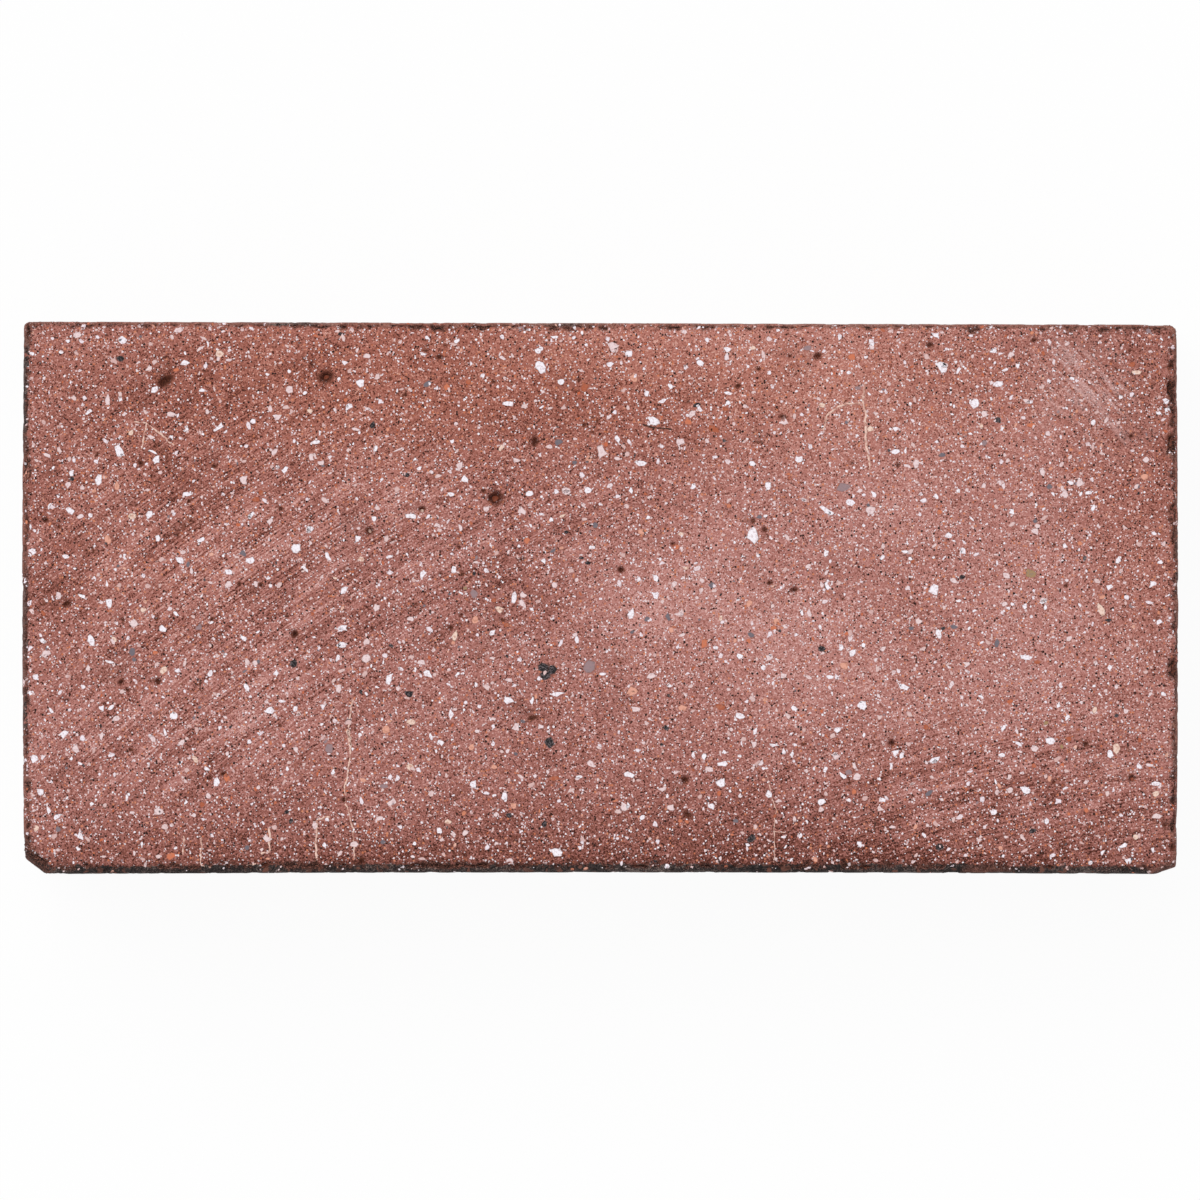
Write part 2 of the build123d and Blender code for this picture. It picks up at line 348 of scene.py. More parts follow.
def buildReliefTree():
    sizes = ["inset", "faceWave", "faceWaveSpan", "crumble", "crumbleReach", "crumbleSpan", "tear",
             "skinRough", "skinSpan", "skinThin", "pitDepthShare", "pitsPerFace", "pitSmallest",
             "pitLargest"]
    sockets = {"Geometry": "Geometry", "pitPoints": "Object", "seed": "Int", "material": "Material"}
    tree, given = newTree("paverRelief", {**sockets, **dict.fromkeys(sizes, "Float")})
    node = partial(addNode, tree)
    body = given["Geometry"]
    place = node("place")
    normal = node("GeometryNodeInputNormal")
    level = node("math", {0: node("split", {0: normal}, out="Z")}, operation="ABSOLUTE")

    # How far each point is from the sides, and from the wearing and bed faces
    regions = {}
    distance = {}
    rules = {"sides": ("LESS_THAN", paver["sideLean"]), "faces": ("GREATER_THAN", paver["faceLean"])}
    for name, (rule, limit) in rules.items():
        chosen = node("compare", {0: level, 1: limit}, operation=rule)
        regions[name] = node("GeometryNodeSeparateGeometry", {"Geometry": body, "Selection": chosen},
                             domain="FACE")
        distance[name] = node("GeometryNodeProximity", {0: regions[name]}, out="Distance",
                              target_element="FACES")

    # Pits: those read off the photograph, and small ones strewn over both faces
    read = node("GeometryNodeObjectInfo", {"Object": given["pitPoints"]}, out="Geometry")
    read = node("GeometryNodeMeshToPoints", {"Mesh": read})
    density = node("math", {0: given["pitsPerFace"], 1: faceArea}, operation="DIVIDE")
    strewn = node("GeometryNodeDistributePointsOnFaces",
                  {"Mesh": regions["faces"], "Density": density, "Seed": given["seed"]})
    size = node("random", {2: given["pitSmallest"], 3: given["pitLargest"], "Seed": given["seed"]}, out=1)
    for label in ("pitLong", "pitShort"):
        strewn = node("store", {"Geometry": strewn, "Name": label, "Value": size})
    everyPit = node("GeometryNodeJoinGeometry", {0: read})
    tree.links.new(strewn, everyPit.node.inputs[0])
    nearest = node("GeometryNodeSampleNearest", {"Geometry": everyPit})
    pit = {}
    for label in ("pitLong", "pitShort", "pitTurn"):
        value = node("named", {"Name": label})
        pit[label] = node("GeometryNodeSampleIndex",
                          {"Geometry": everyPit, "Value": value, "Index": nearest})
    centre = node("GeometryNodeSampleIndex", {"Geometry": everyPit, "Value": place, "Index": nearest},
                  data_type="FLOAT_VECTOR")
    offset = node("vector", {0: place, 1: centre}, operation="SUBTRACT")
    turnBack = node("math", {0: pit["pitTurn"], 1: -1.0}, operation="MULTIPLY")
    offset = node("ShaderNodeVectorRotate", {"Vector": offset, "Angle": turnBack}, rotation_type="Z_AXIS")
    span = node("vector from", {0: pit["pitLong"], 1: pit["pitShort"], 2: pit["pitShort"]})
    offset = node("vector", {0: offset, 1: span}, operation="DIVIDE")
    reach = node("vector", {0: offset}, out="Value", operation="LENGTH")
    fray = node("noise", {"Vector": place, "Scale": 1 / paver["pitFraySpan"], "Detail": 1.0})
    frayed = node("math", {0: fray, 1: paver["pitFray"], 2: reach}, operation="MULTIPLY_ADD")
    low, high = paver["pitBowl"]
    bowl = node("range", {"Value": frayed, "From Min": low, "From Max": high, "To Min": 1.0, "To Max": 0.0},
                interpolation_type="SMOOTHSTEP")
    pitField = node("range", {"Value": reach, "To Min": 1.0, "To Max": 0.0})
    pitDepth = node("math", {0: pit["pitShort"], 1: given["pitDepthShare"]}, operation="MULTIPLY")
    pitDrop = node("math", {0: bowl, 1: pitDepth}, operation="MULTIPLY")

    # Arrises crumble in lumps, here and there, with finer crumbs lost too
    atArris = None
    for name in ("sides", "faces"):
        near = node("range", {"Value": distance[name], "From Max": given["crumbleReach"], "To Min": 1.0,
                              "To Max": 0.0}, interpolation_type="SMOOTHSTEP")
        atArris = node("math", {0: atArris, 1: near}, operation="MULTIPLY") if atArris else near
    lumpScale = node("math", {0: 1.0, 1: given["crumbleSpan"]}, operation="DIVIDE")
    lumps = node("noise", {"Vector": place, "Scale": lumpScale, "Detail": 1.5})
    low, high = paver["lumps"]
    lumps = node("range", {"Value": lumps, "From Min": low, "From Max": high})
    somewhere = node("math", {0: lumpScale, 1: paver["placeScale"]}, operation="MULTIPLY")
    somewhere = node("noise", {"Vector": place, "Scale": somewhere, "Detail": 1.0})
    low, high = paver["places"]
    somewhere = node("range", {"Value": somewhere, "From Min": low, "From Max": high,
                               "To Min": paver["leastLost"]})
    lumps = node("math", {0: lumps, 1: somewhere}, operation="MULTIPLY")
    crumbs = node("math", {0: lumpScale, 1: paver["crumbScale"]}, operation="MULTIPLY")
    crumbs = node("noise", {"Vector": place, "Scale": crumbs, "Detail": 2.0})
    hollowFrom, hollowFully = paver["hollows"]
    crumbs = node("range", {"Value": crumbs, "From Min": hollowFrom, "From Max": hollowFully})
    lumps = node("math", {0: crumbs, 1: paver["crumbShare"], 2: lumps}, operation="MULTIPLY_ADD")
    deep = node("math", {0: atArris, 1: given["crumble"]}, operation="MULTIPLY")
    crumbleDrop = node("math", {0: deep, 1: lumps}, operation="MULTIPLY")
    bitten = node("named", {"Name": "bitten"})
    tear = node("math", {0: bitten, 1: given["tear"]}, operation="MULTIPLY")
    crumbleDrop = node("math", {0: tear, 1: crumbs, 2: crumbleDrop}, operation="MULTIPLY_ADD")

    # The sides are rough, and the face rises and falls a little
    onSkin = node("range", {"Value": distance["sides"], "From Max": given["skinThin"], "To Min": 1.0,
                            "To Max": 0.0})
    skinScale = node("math", {0: 1.0, 1: given["skinSpan"]}, operation="DIVIDE")
    skinNoise = node("noise", {"Vector": place, "Scale": skinScale, "Detail": 5.0, "Roughness": 0.6})
    skinNoise = node("range", {"Value": skinNoise, "From Min": hollowFrom, "From Max": hollowFully})
    rough = node("math", {0: onSkin, 1: given["skinRough"]}, operation="MULTIPLY")
    skinDrop = node("math", {0: rough, 1: skinNoise}, operation="MULTIPLY")
    waveScale = node("math", {0: 1.0, 1: given["faceWaveSpan"]}, operation="DIVIDE")
    waveNoise = node("noise", {"Vector": place, "Scale": waveScale, "Detail": 2.0})
    onFaces = node("math", {0: 1.0, 1: onSkin}, operation="SUBTRACT")
    wave = node("math", {0: given["faceWave"], 1: onFaces}, operation="MULTIPLY")
    drop = node("math", {0: wave, 1: waveNoise, 2: given["inset"]}, operation="MULTIPLY_ADD")
    for more in (pitDrop, crumbleDrop, skinDrop):
        drop = node("math", {0: drop, 1: more}, operation="ADD")

    broken = node("range", {"Value": crumbleDrop, "From Min": paver["brokenFrom"],
                            "From Max": paver["brokenFully"]})
    broken = node("math", {0: broken, 1: bitten}, operation="MAXIMUM")
    for label, value in (("pit", pitField), ("skin", onSkin), ("broken", broken)):
        body = node("store", {"Geometry": body, "Name": label, "Value": value})
    back = node("math", {0: drop, 1: -1.0}, operation="MULTIPLY")
    inward = node("vector", {0: normal, "Scale": back}, operation="SCALE")
    body = node("move", {"Geometry": body, "Offset": inward})
    body = node("GeometryNodeRealizeInstances", {"Geometry": body})
    body = node("GeometryNodeSetMaterial", {"Geometry": body, "Material": given["material"]})
    node("NodeGroupOutput", {0: body})
    return tree


def sideDepths(places):  # how far in each point is from the four sides, as they run below the wear
    band = np.abs(places[:, 2] - topZ + burnt["soundDepth"]) < burnt["soundBand"]
    depths = {}
    for name, axis, sign in (("front", 1, -1), ("left", 0, -1), ("right", 0, 1), ("back", 1, 1)):
        out = sign * places[:, axis]
        along = places[:, 1 - axis]
        side = band & (out > out.max() - burnt["sideBand"])
        order = np.argsort(along[side])
        depths[name] = np.interp(along, along[side][order], out[side][order]) - out
    return depths


def addBites(mesh):  # marks where the arris is broken away further in than the round that it is worn to
    places = readOff(mesh, "position", "vector", 3)
    depths = sideDepths(places)
    everyDepth = list(depths.values())
    inward = np.min(everyDepth, 0)
    below = topZ - places[:, 2]
    wear = np.array([reach for _, reach in burnt["sides"].values()])[np.argmin(everyDepth, 0)]
    inside = wear - np.hypot(np.clip(wear - inward, 0, None), np.clip(wear - below, 0, None))
    inside += np.clip(np.minimum(inward, below) - wear, 0, None)
    bitten = np.clip((inside - bites["from"]) / bites["soft"], 0, 1) * (below < faceDepth)
    corner = brokenCorner["reach"] - sum(depths[side] for side in brokenCorner["sides"])
    corner = np.clip(corner / brokenCorner["soft"], 0, 1)
    corner = corner * np.clip(2 - 2 * below / brokenCorner["depth"], 0, 1)  # fades out over the lower half
    storeFloats(mesh, "bitten", np.maximum(bitten, corner))


def addFields(mesh):  # the slow changes over the face, and how burnt each side is, as attributes
    places = readOff(mesh, "position", "vector", 3)
    x, y, z = places.T
    onTop = z > topZ - faceDepth
    for label, spots in patches.items():
        total = np.zeros(len(places))
        for px, py, reachX, reachY, strength in spots:
            spotX, spotY = onFace(px, py)
            far = ((x - spotX) / (reachX * pixel)) ** 2 + ((y - spotY) / (reachY * pixel)) ** 2
            total += strength * np.exp(-far)
        storeFloats(mesh, label, total * onTop)
    depths = sideDepths(places)
    near = {name: np.exp(-depths[name] / burnt["blend"]) for name in depths}
    burn = sum(burnt["sides"][name][0] * near[name] for name in near) / (sum(near.values()) + tiny)
    fade = burnt["below"] + (1 - burnt["below"]) * np.exp((z - topZ) / burnt["depth"])
    storeFloats(mesh, "burn", burn * fade)


# A UV map named OFBake: the wearing face at full width, the other sides smaller above it
bakePanels = {"share": 0.54, "gap": 0.004, "margin": 0.001}


def addBakeMap(mesh):
    count = len(mesh.polygons)
    normals = np.empty(count * 3, np.float32)
    mesh.polygons.foreach_get("normal", normals)
    normals = normals.reshape(-1, 3)
    axis = np.abs(normals).argmax(1)
    upward = normals[np.arange(count), axis] > 0
    panel = np.repeat(axis * 2 + upward, readCounts(mesh.polygons, "loop_total"))
    corners = readCounts(mesh.loops, "vertex_index")
    places = (readOff(mesh, "position", "vector", 3)[corners] - np.array(cadLow)) / (cadHigh.x - cadLow.x)
    _, deep, tall = (np.array(cadHigh) - np.array(cadLow)) / (cadHigh.x - cadLow.x)
    share = bakePanels["share"]
    gap = bakePanels["gap"]
    margin = bakePanels["margin"]
    row = [deep + gap, deep + share * tall + 2 * gap, deep + 2 * share * tall + 3 * gap]
    # For each side: the two directions it is drawn along, its scale, and its lower left corner on the map
    layout = {
        5: (0, 1, 1.0, 0.0, 0.0),
        4: (0, 1, share, 0.0, row[2]),
        3: (0, 2, share, 0.0, row[1]),
        2: (0, 2, share, 0.0, row[0]),
        1: (1, 2, share, share + gap, row[1]),
        0: (1, 2, share, share + gap, row[0]),
    }
    flat = np.zeros((len(corners), 2), np.float32)
    for key, (across, up, scale, left, low) in layout.items():
        chosen = panel == key
        flat[chosen, 0] = left + scale * places[chosen, across]
        flat[chosen, 1] = low + scale * places[chosen, up]
    flat = margin + (1 - 2 * margin) * flat
    mesh.uv_layers.new(name="OFBake").uv.foreach_set("vector", flat.ravel())


def makePaver(material):
    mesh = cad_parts["clay_paver"].data.copy()
    mesh.materials.clear()
    block = newPiece("paver", mesh)
    weld = block.modifiers.new("weld", "WELD")
    weld.merge_threshold = paver["weld"]
    grid = block.modifiers.new("grid", "REMESH")
    grid.mode = "VOXEL"
    grid.voxel_size = paver["voxel"]
    block.data = plainMesh(block)
    print("paver: remeshed to", len(block.data.polygons), "faces")
    addBites(block.data)
    rows = [(px, py, long * pixel, short * pixel, math.radians(turn)) for px, py, long, short, turn in pits]
    pitPoints = readPoints("pits", rows, ["pitLong", "pitShort", "pitTurn"])
    values = {**paver, "pitPoints": pitPoints, "material": material}
    block.data = plainMesh(block, buildReliefTree(), values)
    bpy.data.objects.remove(pitPoints)
    thin = block.modifiers.new("thin", "DECIMATE")
    thin.ratio = paver["triangles"] / (2 * len(block.data.polygons))
    block.data = plainMesh(block)
    block.data.shade_smooth()
    addFields(block.data)
    addBakeMap(block.data)
    print("paver: relief made,", len(block.data.polygons), "triangles kept")
    finishPiece(block)
    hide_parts("clay_paver")
    return block


# Fired clay, cut and worn: a matt red-brown body full of sand, pale where wear has bruised it, with pits
# darkened by painted shade over their own dark clay, curved drag streaks from the cut, and a grey-black
# burnt skin with upright drag lines on the sides
clay = {
    "shades": [
        (0.00, "#42190f"), (0.16, "#7a4539"), (0.34, "#985e54"), (0.50, "#a96e65"),
        (0.66, "#b97e76"), (0.84, "#ca948d"), (1.00, "#dcb1ab"),
    ],
    "middle": 0.48, "toneShare": 1.3, "warmTint": "#fff2e4",
    "sandGrain": 0.21 * mm, "sandShare": 1.20, "sandPeak": 3.0, "sandGain": 4.0,
    "pore": 0.27 * mm, "poreShare": 0.84,
    "lump": 1.7 * mm, "lumpShare": 0.2,
    "cloud": 9.0 * mm, "cloudShare": 0.2,
    # Clear quartz in the sand: near-white spots, partly its own pale colour and partly a painted glint
    "glintShare": 0.02,  # share of the sand that is clear quartz
    "glintLeast": 0.7, "glintColour": "#f6ecf2",
    # Drag streaks and wider swathes from the cut, along arcs about one far centre
    "streakCentre": (140 * mm, -286 * mm, 0), "streakRadius": 380 * mm,
    "streakWidth": 0.30 * mm, "streakLength": 9.0 * mm, "streakShare": 1.6,
    "swatheWidth": 3.5 * mm, "swatheLength": 28.0 * mm, "swatheShare": 0.85,
    # One cell in a few holds a speck: an open pore, drawn near-black as painted shade, a crumb of grog or a
    # grain of quartz
    "speckCell": 0.45 * mm, "speckRagged": 0.20 * mm, "speckReach": (0.18, 0.52), "speckEdge": (-0.04, 0.06),
    "speckShades": [
        (0.0, "#0f0806"), (0.14, "#2c150d"), (0.141, "#c46f4c"), (0.24, "#d1896a"),
        (0.241, "#d9b8b7"), (0.89, "#d9b8b7"), (0.95, "#ebd9dd"), (1.0, "#fcf9ff"),
    ],
    "speckPlaces": [
        (0.0, "#ffffff"), (0.24, "#ffffff"), (0.241, "#000000"), (0.89, "#000000"), (0.891, "#ffffff"),
    ],
    # Pale dust, wiped over the face one way
    "dustColour": "#e3bebb", "dust": (0.91, 1.28),
    "wipeTurn": -46.0, "wipeWidth": 0.7 * mm, "wipeLength": 8.0 * mm,
    # Burnt skin, milder in places, with drag lines, pores and flecks of clay in it
    "skinShades": [(0.40, "#0a0808"), (0.47, "#221c1b"), (0.54, "#463a38"), (0.65, "#97857e")],
    "mildShades": [(0.40, "#6b4237"), (0.48, "#8b5d51"), (0.55, "#a27063"), (0.66, "#c19686")],
    "mildBare": 0.25,  # share of bare clay that shows through the milder skin
    "skinLine": 0.8 * mm, "skinLineLength": 18.0 * mm, "skinCloud": 16.0 * mm, "skinPores": 2.2,
    "fleck": 0.9 * mm, "flecks": (0.87, 0.95), "fleckColour": "#6f483d",
    "sidePatchy": 1.7, "arrisPatchy": 3.5,  # how much the burning differs from place to place
    "flash": (0.1, 0.8),  # from mild to fully burnt
    # The skin's edge is uneven, missing where clay has broken away, and worn through on the arris
    "skinBroken": 0.8, "skinLumps": 1.6, "skinEdgePores": 1.5, "skinReach": 0.15, "skinEdge": (0.30, 0.50),
    "arris": (0.15, 0.50),  # upward lean of the surface, from a side to the worn round
    "arrisWear": 8.0,
    "wornUnder": 1.15,  # skin that is burnt less than this wears through
    "gapUnder": 0.95,  # where lumps and clouds together are under this
    # Broken clay: its own red-brown, with painted shadow of its crevices at the near-black end
    "brokenClayAndCreviceShade": [(0.38, "#0d0706"), (0.47, "#2e1a14"), (0.55, "#653b2f"), (0.66, "#a87263")],
    # Pits: their dark colour is partly the clay's own dark red-brown and partly painted shade of the bowl
    "pitDarkClayAndShade": "#33190f", "pitFloor": "#7a4534", "pitRagged": 2.0, "pitEdge": (0.54, 0.66),
    "pitLining": (0.42, 0.58),
    "roughness": 0.9, "gloss": 0.3, "bump": 0.05 * mm, "bumpShare": 0.6, "skinBump": 10.0,
}


def makeClay():
    material, node = newMaterial("fired clay, cut and worn")
    place = node("ShaderNodeTexCoord", out="Object")
    field = {name: node("attribute", attribute_name=name, out="Fac")
             for name in ("tone", "warm", "haze", "streak", "pit", "skin", "broken", "burn")}

    # Sand grains, pores, lumps and clouds, each added about its middle
    sand = node("cells", {"Vector": place, "Scale": 1 / clay["sandGrain"]}, out="Color")
    sandDraw = node("split", {0: sand}).node.outputs
    pore = node("noise", {"Vector": place, "Scale": 1 / clay["pore"], "Detail": 3.0, "Roughness": 0.65})
    lump = node("noise", {"Vector": place, "Scale": 1 / clay["lump"], "Detail": 2.0})
    cloud = node("noise", {"Vector": place, "Scale": 1 / clay["cloud"], "Detail": 3.0, "Roughness": 0.6})
    kiln = node("noise", {"Vector": place, "Scale": 1 / clay["skinCloud"], "Detail": 4.0})
    centred = {"sand": sandDraw["X"], "pore": pore, "lump": lump, "cloud": cloud, "kiln": kiln}
    for name, value in centred.items():
        centred[name] = node("math", {0: value, 1: noiseMiddle}, operation="SUBTRACT")
    # Most sand is near the middle shade, and a few grains are far from it
    peaked = node("math", {0: centred["sand"], 1: clay["sandPeak"]}, operation="POWER")
    centred["sand"] = node("math", {0: peaked, 1: clay["sandGain"]}, operation="MULTIPLY")
    shade = node("math", {0: field["tone"], 1: clay["toneShare"], 2: clay["middle"]},
                 operation="MULTIPLY_ADD")
    for name in ("sand", "pore", "lump", "cloud"):
        shade = node("math", {0: centred[name], 1: clay[name + "Share"], 2: shade}, operation="MULTIPLY_ADD")

    # Drag streaks: noise drawn out along arcs about one far centre
    arm = node("vector", {0: place, 1: clay["streakCentre"]}, operation="SUBTRACT")
    armParts = node("split", {0: arm}).node.outputs
    radius = node("vector", {0: arm}, out="Value", operation="LENGTH")
    angle = node("math", {0: armParts["Y"], 1: armParts["X"]}, operation="ARCTAN2")
    for name, detail in (("streak", 2.0), ("swathe", 3.0)):
        across = node("math", {0: radius, 1: clay[name + "Width"]}, operation="DIVIDE")
        drawnOut = clay["streakRadius"] / clay[name + "Length"]
        along = node("math", {0: angle, 1: drawnOut}, operation="MULTIPLY")
        arc = node("vector from", {0: across, 1: along})
        drag = node("noise", {"Vector": arc, "Scale": 1.0, "Detail": detail})
        drag = node("math", {0: drag, 1: noiseMiddle}, operation="SUBTRACT")
        drag = node("math", {0: drag, 1: field["streak"]}, operation="MULTIPLY")
        shade = node("math", {0: drag, 1: clay[name + "Share"], 2: shade}, operation="MULTIPLY_ADD")
    base = node("ramp", {0: shade}, stops=clay["shades"], out="Color")
    base = node("mix", {0: field["warm"], 6: base, 7: linear(clay["warmTint"])}, out=2, data_type="RGBA",
                blend_type="MULTIPLY")

    # Clear quartz in the sand: near-white spots, partly the quartz's own pale colour and partly a painted
    # glint; and ragged specks
    clearFrom = 1 - clay["glintShare"]
    clear = node("math", {0: sandDraw["Y"], 1: clearFrom}, operation="GREATER_THAN")
    glint = node("range", {"Value": sandDraw["Y"], "From Min": clearFrom, "To Min": clay["glintLeast"]})
    glint = node("math", {0: glint, 1: clear}, operation="MULTIPLY")
    base = node("mix", {0: glint, 6: base, 7: linear(clay["glintColour"])}, out=2, data_type="RGBA")
    # Specks: crumbs of grog and grains of quartz in their own colours, and open pores as near-black dots of
    # painted shade
    jolt = node("noise", {"Vector": place, "Scale": 2 / clay["speckCell"]}, out="Color")
    jolt = node("vector", {0: jolt, "Scale": clay["speckRagged"]}, operation="SCALE")
    jolt = node("vector", {0: place, 1: jolt}, operation="ADD")
    speck = node("cells", {"Vector": jolt, "Scale": 1 / clay["speckCell"]}).node.outputs
    speckDraw = node("split", {0: speck["Color"]}).node.outputs
    low, high = clay["speckReach"]
    reach = node("range", {"Value": speckDraw["Y"], "To Min": low, "To Max": high})
    solid = node("math", {0: reach, 1: speck["Distance"]}, operation="SUBTRACT")
    low, high = clay["speckEdge"]
    solid = node("range", {"Value": solid, "From Min": low, "From Max": high})
    held = node("ramp", {0: speckDraw["X"]}, stops=clay["speckPlaces"], out="Color")
    solid = node("math", {0: solid, 1: held}, operation="MULTIPLY")
    speckColour = node("ramp", {0: speckDraw["X"]}, stops=clay["speckShades"], out="Color")
    base = node("mix", {0: solid, 6: base, 7: speckColour}, out=2, data_type="RGBA")

    # Dust lies in streaks, thinner over the pores
    turn = (0, 0, math.radians(clay["wipeTurn"]))
    wipe = node("ShaderNodeMapping", {"Vector": place, "Rotation": turn,
                                      "Scale": (clay["wipeLength"], clay["wipeWidth"], 1.0)},
                vector_type="TEXTURE")
    wipe = node("noise", {"Vector": wipe, "Scale": 1.0, "Detail": 2.0})
    dust = node("math", {0: wipe, 1: pore}, operation="ADD")
    low, high = clay["dust"]
    dust = node("range", {"Value": dust, "From Min": low, "From Max": high})
    dust = node("math", {0: dust, 1: field["haze"]}, operation="MULTIPLY")
    base = node("mix", {0: dust, 6: base, 7: linear(clay["dustColour"])}, out=2, data_type="RGBA")

    # Burnt skin with upright drag lines, dark where the kiln burnt most
    lineSpan = (1 / clay["skinLine"], 1 / clay["skinLine"], 1 / clay["skinLineLength"])
    upright = node("ShaderNodeMapping", {"Vector": place, "Scale": lineSpan})
    dragLines = node("noise", {"Vector": upright, "Scale": 1.0, "Detail": 3.0, "Roughness": 0.6})
    smoke = node("math", {0: dragLines, 1: kiln}, operation="ADD")
    smoke = node("math", {0: pore, 1: clay["skinPores"], 2: smoke}, operation="MULTIPLY_ADD")
    smoke = node("math", {0: smoke, 1: 2 + clay["skinPores"]}, operation="DIVIDE")
    dark = node("ramp", {0: smoke}, stops=clay["skinShades"], out="Color")
    fleck = node("cells", {"Vector": place, "Scale": 1 / clay["fleck"]}, out="Color")
    low, high = clay["flecks"]
    fleck = node("range", {"Value": node("split", {0: fleck}, out="X"), "From Min": low, "From Max": high})
    dark = node("mix", {0: fleck, 6: dark, 7: linear(clay["fleckColour"])}, out=2, data_type="RGBA")
    mild = node("ramp", {0: smoke}, stops=clay["mildShades"], out="Color")
    mild = node("mix", {0: clay["mildBare"], 6: mild, 7: base}, out=2, data_type="RGBA")
    lean = node("split", {0: node("ShaderNodeNewGeometry", out="Normal")}, out="Z")
    sideLean, arrisLean = clay["arris"]
    patchy = node("range", {"Value": lean, "From Min": sideLean, "From Max": arrisLean,
                            "To Min": clay["sidePatchy"], "To Max": clay["arrisPatchy"]})
    flash = node("math", {0: centred["kiln"], 1: patchy, 2: field["burn"]}, operation="MULTIPLY_ADD")
    low, high = clay["flash"]
    flash = node("range", {"Value": flash, "From Min": low, "From Max": high})
    skinColour = node("mix", {0: flash, 6: mild, 7: dark}, out=2, data_type="RGBA")

    # The skin's edge. On the arris it is worn through in places, more so where it was burnt less
    edge = node("math", {0: field["broken"], 1: -clay["skinBroken"], 2: field["skin"]},
                operation="MULTIPLY_ADD")
    for name, share in (("lump", "skinLumps"), ("pore", "skinEdgePores")):
        edge = node("math", {0: centred[name], 1: clay[share], 2: edge}, operation="MULTIPLY_ADD")
    worn = node("range", {"Value": lean, "From Min": sideLean, "From Max": arrisLean, "To Min": 0.0,
                          "To Max": clay["arrisWear"]})
    soft = node("math", {0: clay["wornUnder"], 1: field["burn"]}, operation="SUBTRACT")
    worn = node("math", {0: worn, 1: soft}, operation="MULTIPLY")
    gaps = node("math", {0: lump, 1: cloud}, operation="ADD")
    gaps = node("math", {0: gaps, 1: clay["gapUnder"]}, operation="SUBTRACT")
    gaps = node("math", {0: gaps, 1: 0.0}, operation="MINIMUM")
    edge = node("math", {0: gaps, 1: worn, 2: edge}, operation="MULTIPLY_ADD")
    nearSides = node("range", {"Value": field["skin"], "From Max": clay["skinReach"]})
    edge = node("math", {0: edge, 1: nearSides}, operation="MULTIPLY")
    low, high = clay["skinEdge"]
    edge = node("range", {"Value": edge, "From Min": low, "From Max": high})
    base = node("mix", {0: edge, 6: base, 7: skinColour}, out=2, data_type="RGBA")
    # Where clay has broken away: its red-brown colour, with painted crevice shadow at the dark end
    brokenClayAndShade = node("ramp", {0: pore}, stops=clay["brokenClayAndCreviceShade"], out="Color")
    base = node("mix", {0: field["broken"], 6: base, 7: brokenClayAndShade}, out=2, data_type="RGBA")

    # Pits: their own dark red-brown clay, darkened further with painted shade, with a redder floor in places
    pitClayAndShade = node("math", {0: centred["pore"], 1: clay["pitRagged"], 2: field["pit"]},
                operation="MULTIPLY_ADD")
    low, high = clay["pitEdge"]
    pitClayAndShade = node("range", {"Value": pitClayAndShade, "From Min": low, "From Max": high})
    low, high = clay["pitLining"]
    inside = node("range", {"Value": pore, "From Min": low, "From Max": high})
    lining = node("mix", {0: inside, 6: linear(clay["pitDarkClayAndShade"]), 7: linear(clay["pitFloor"])}, out=2,
                  data_type="RGBA")
    base = node("mix", {0: pitClayAndShade, 6: base, 7: lining}, out=2, data_type="RGBA")
    skinHeight = node("math", {0: smoke, 1: clay["skinBump"]}, operation="MULTIPLY")
    height = node("mix", {0: edge, 2: shade, 3: skinHeight}, data_type="FLOAT")
    bump = node("ShaderNodeBump", {"Height": height, "Distance": clay["bump"],
                                   "Strength": clay["bumpShare"]})
    shader = node("ShaderNodeBsdfPrincipled", {"Base Color": base, "Roughness": clay["roughness"],
                                               "Normal": bump, "Specular IOR Level": clay["gloss"]})
    node("ShaderNodeOutputMaterial", {"Surface": shader})
    return material
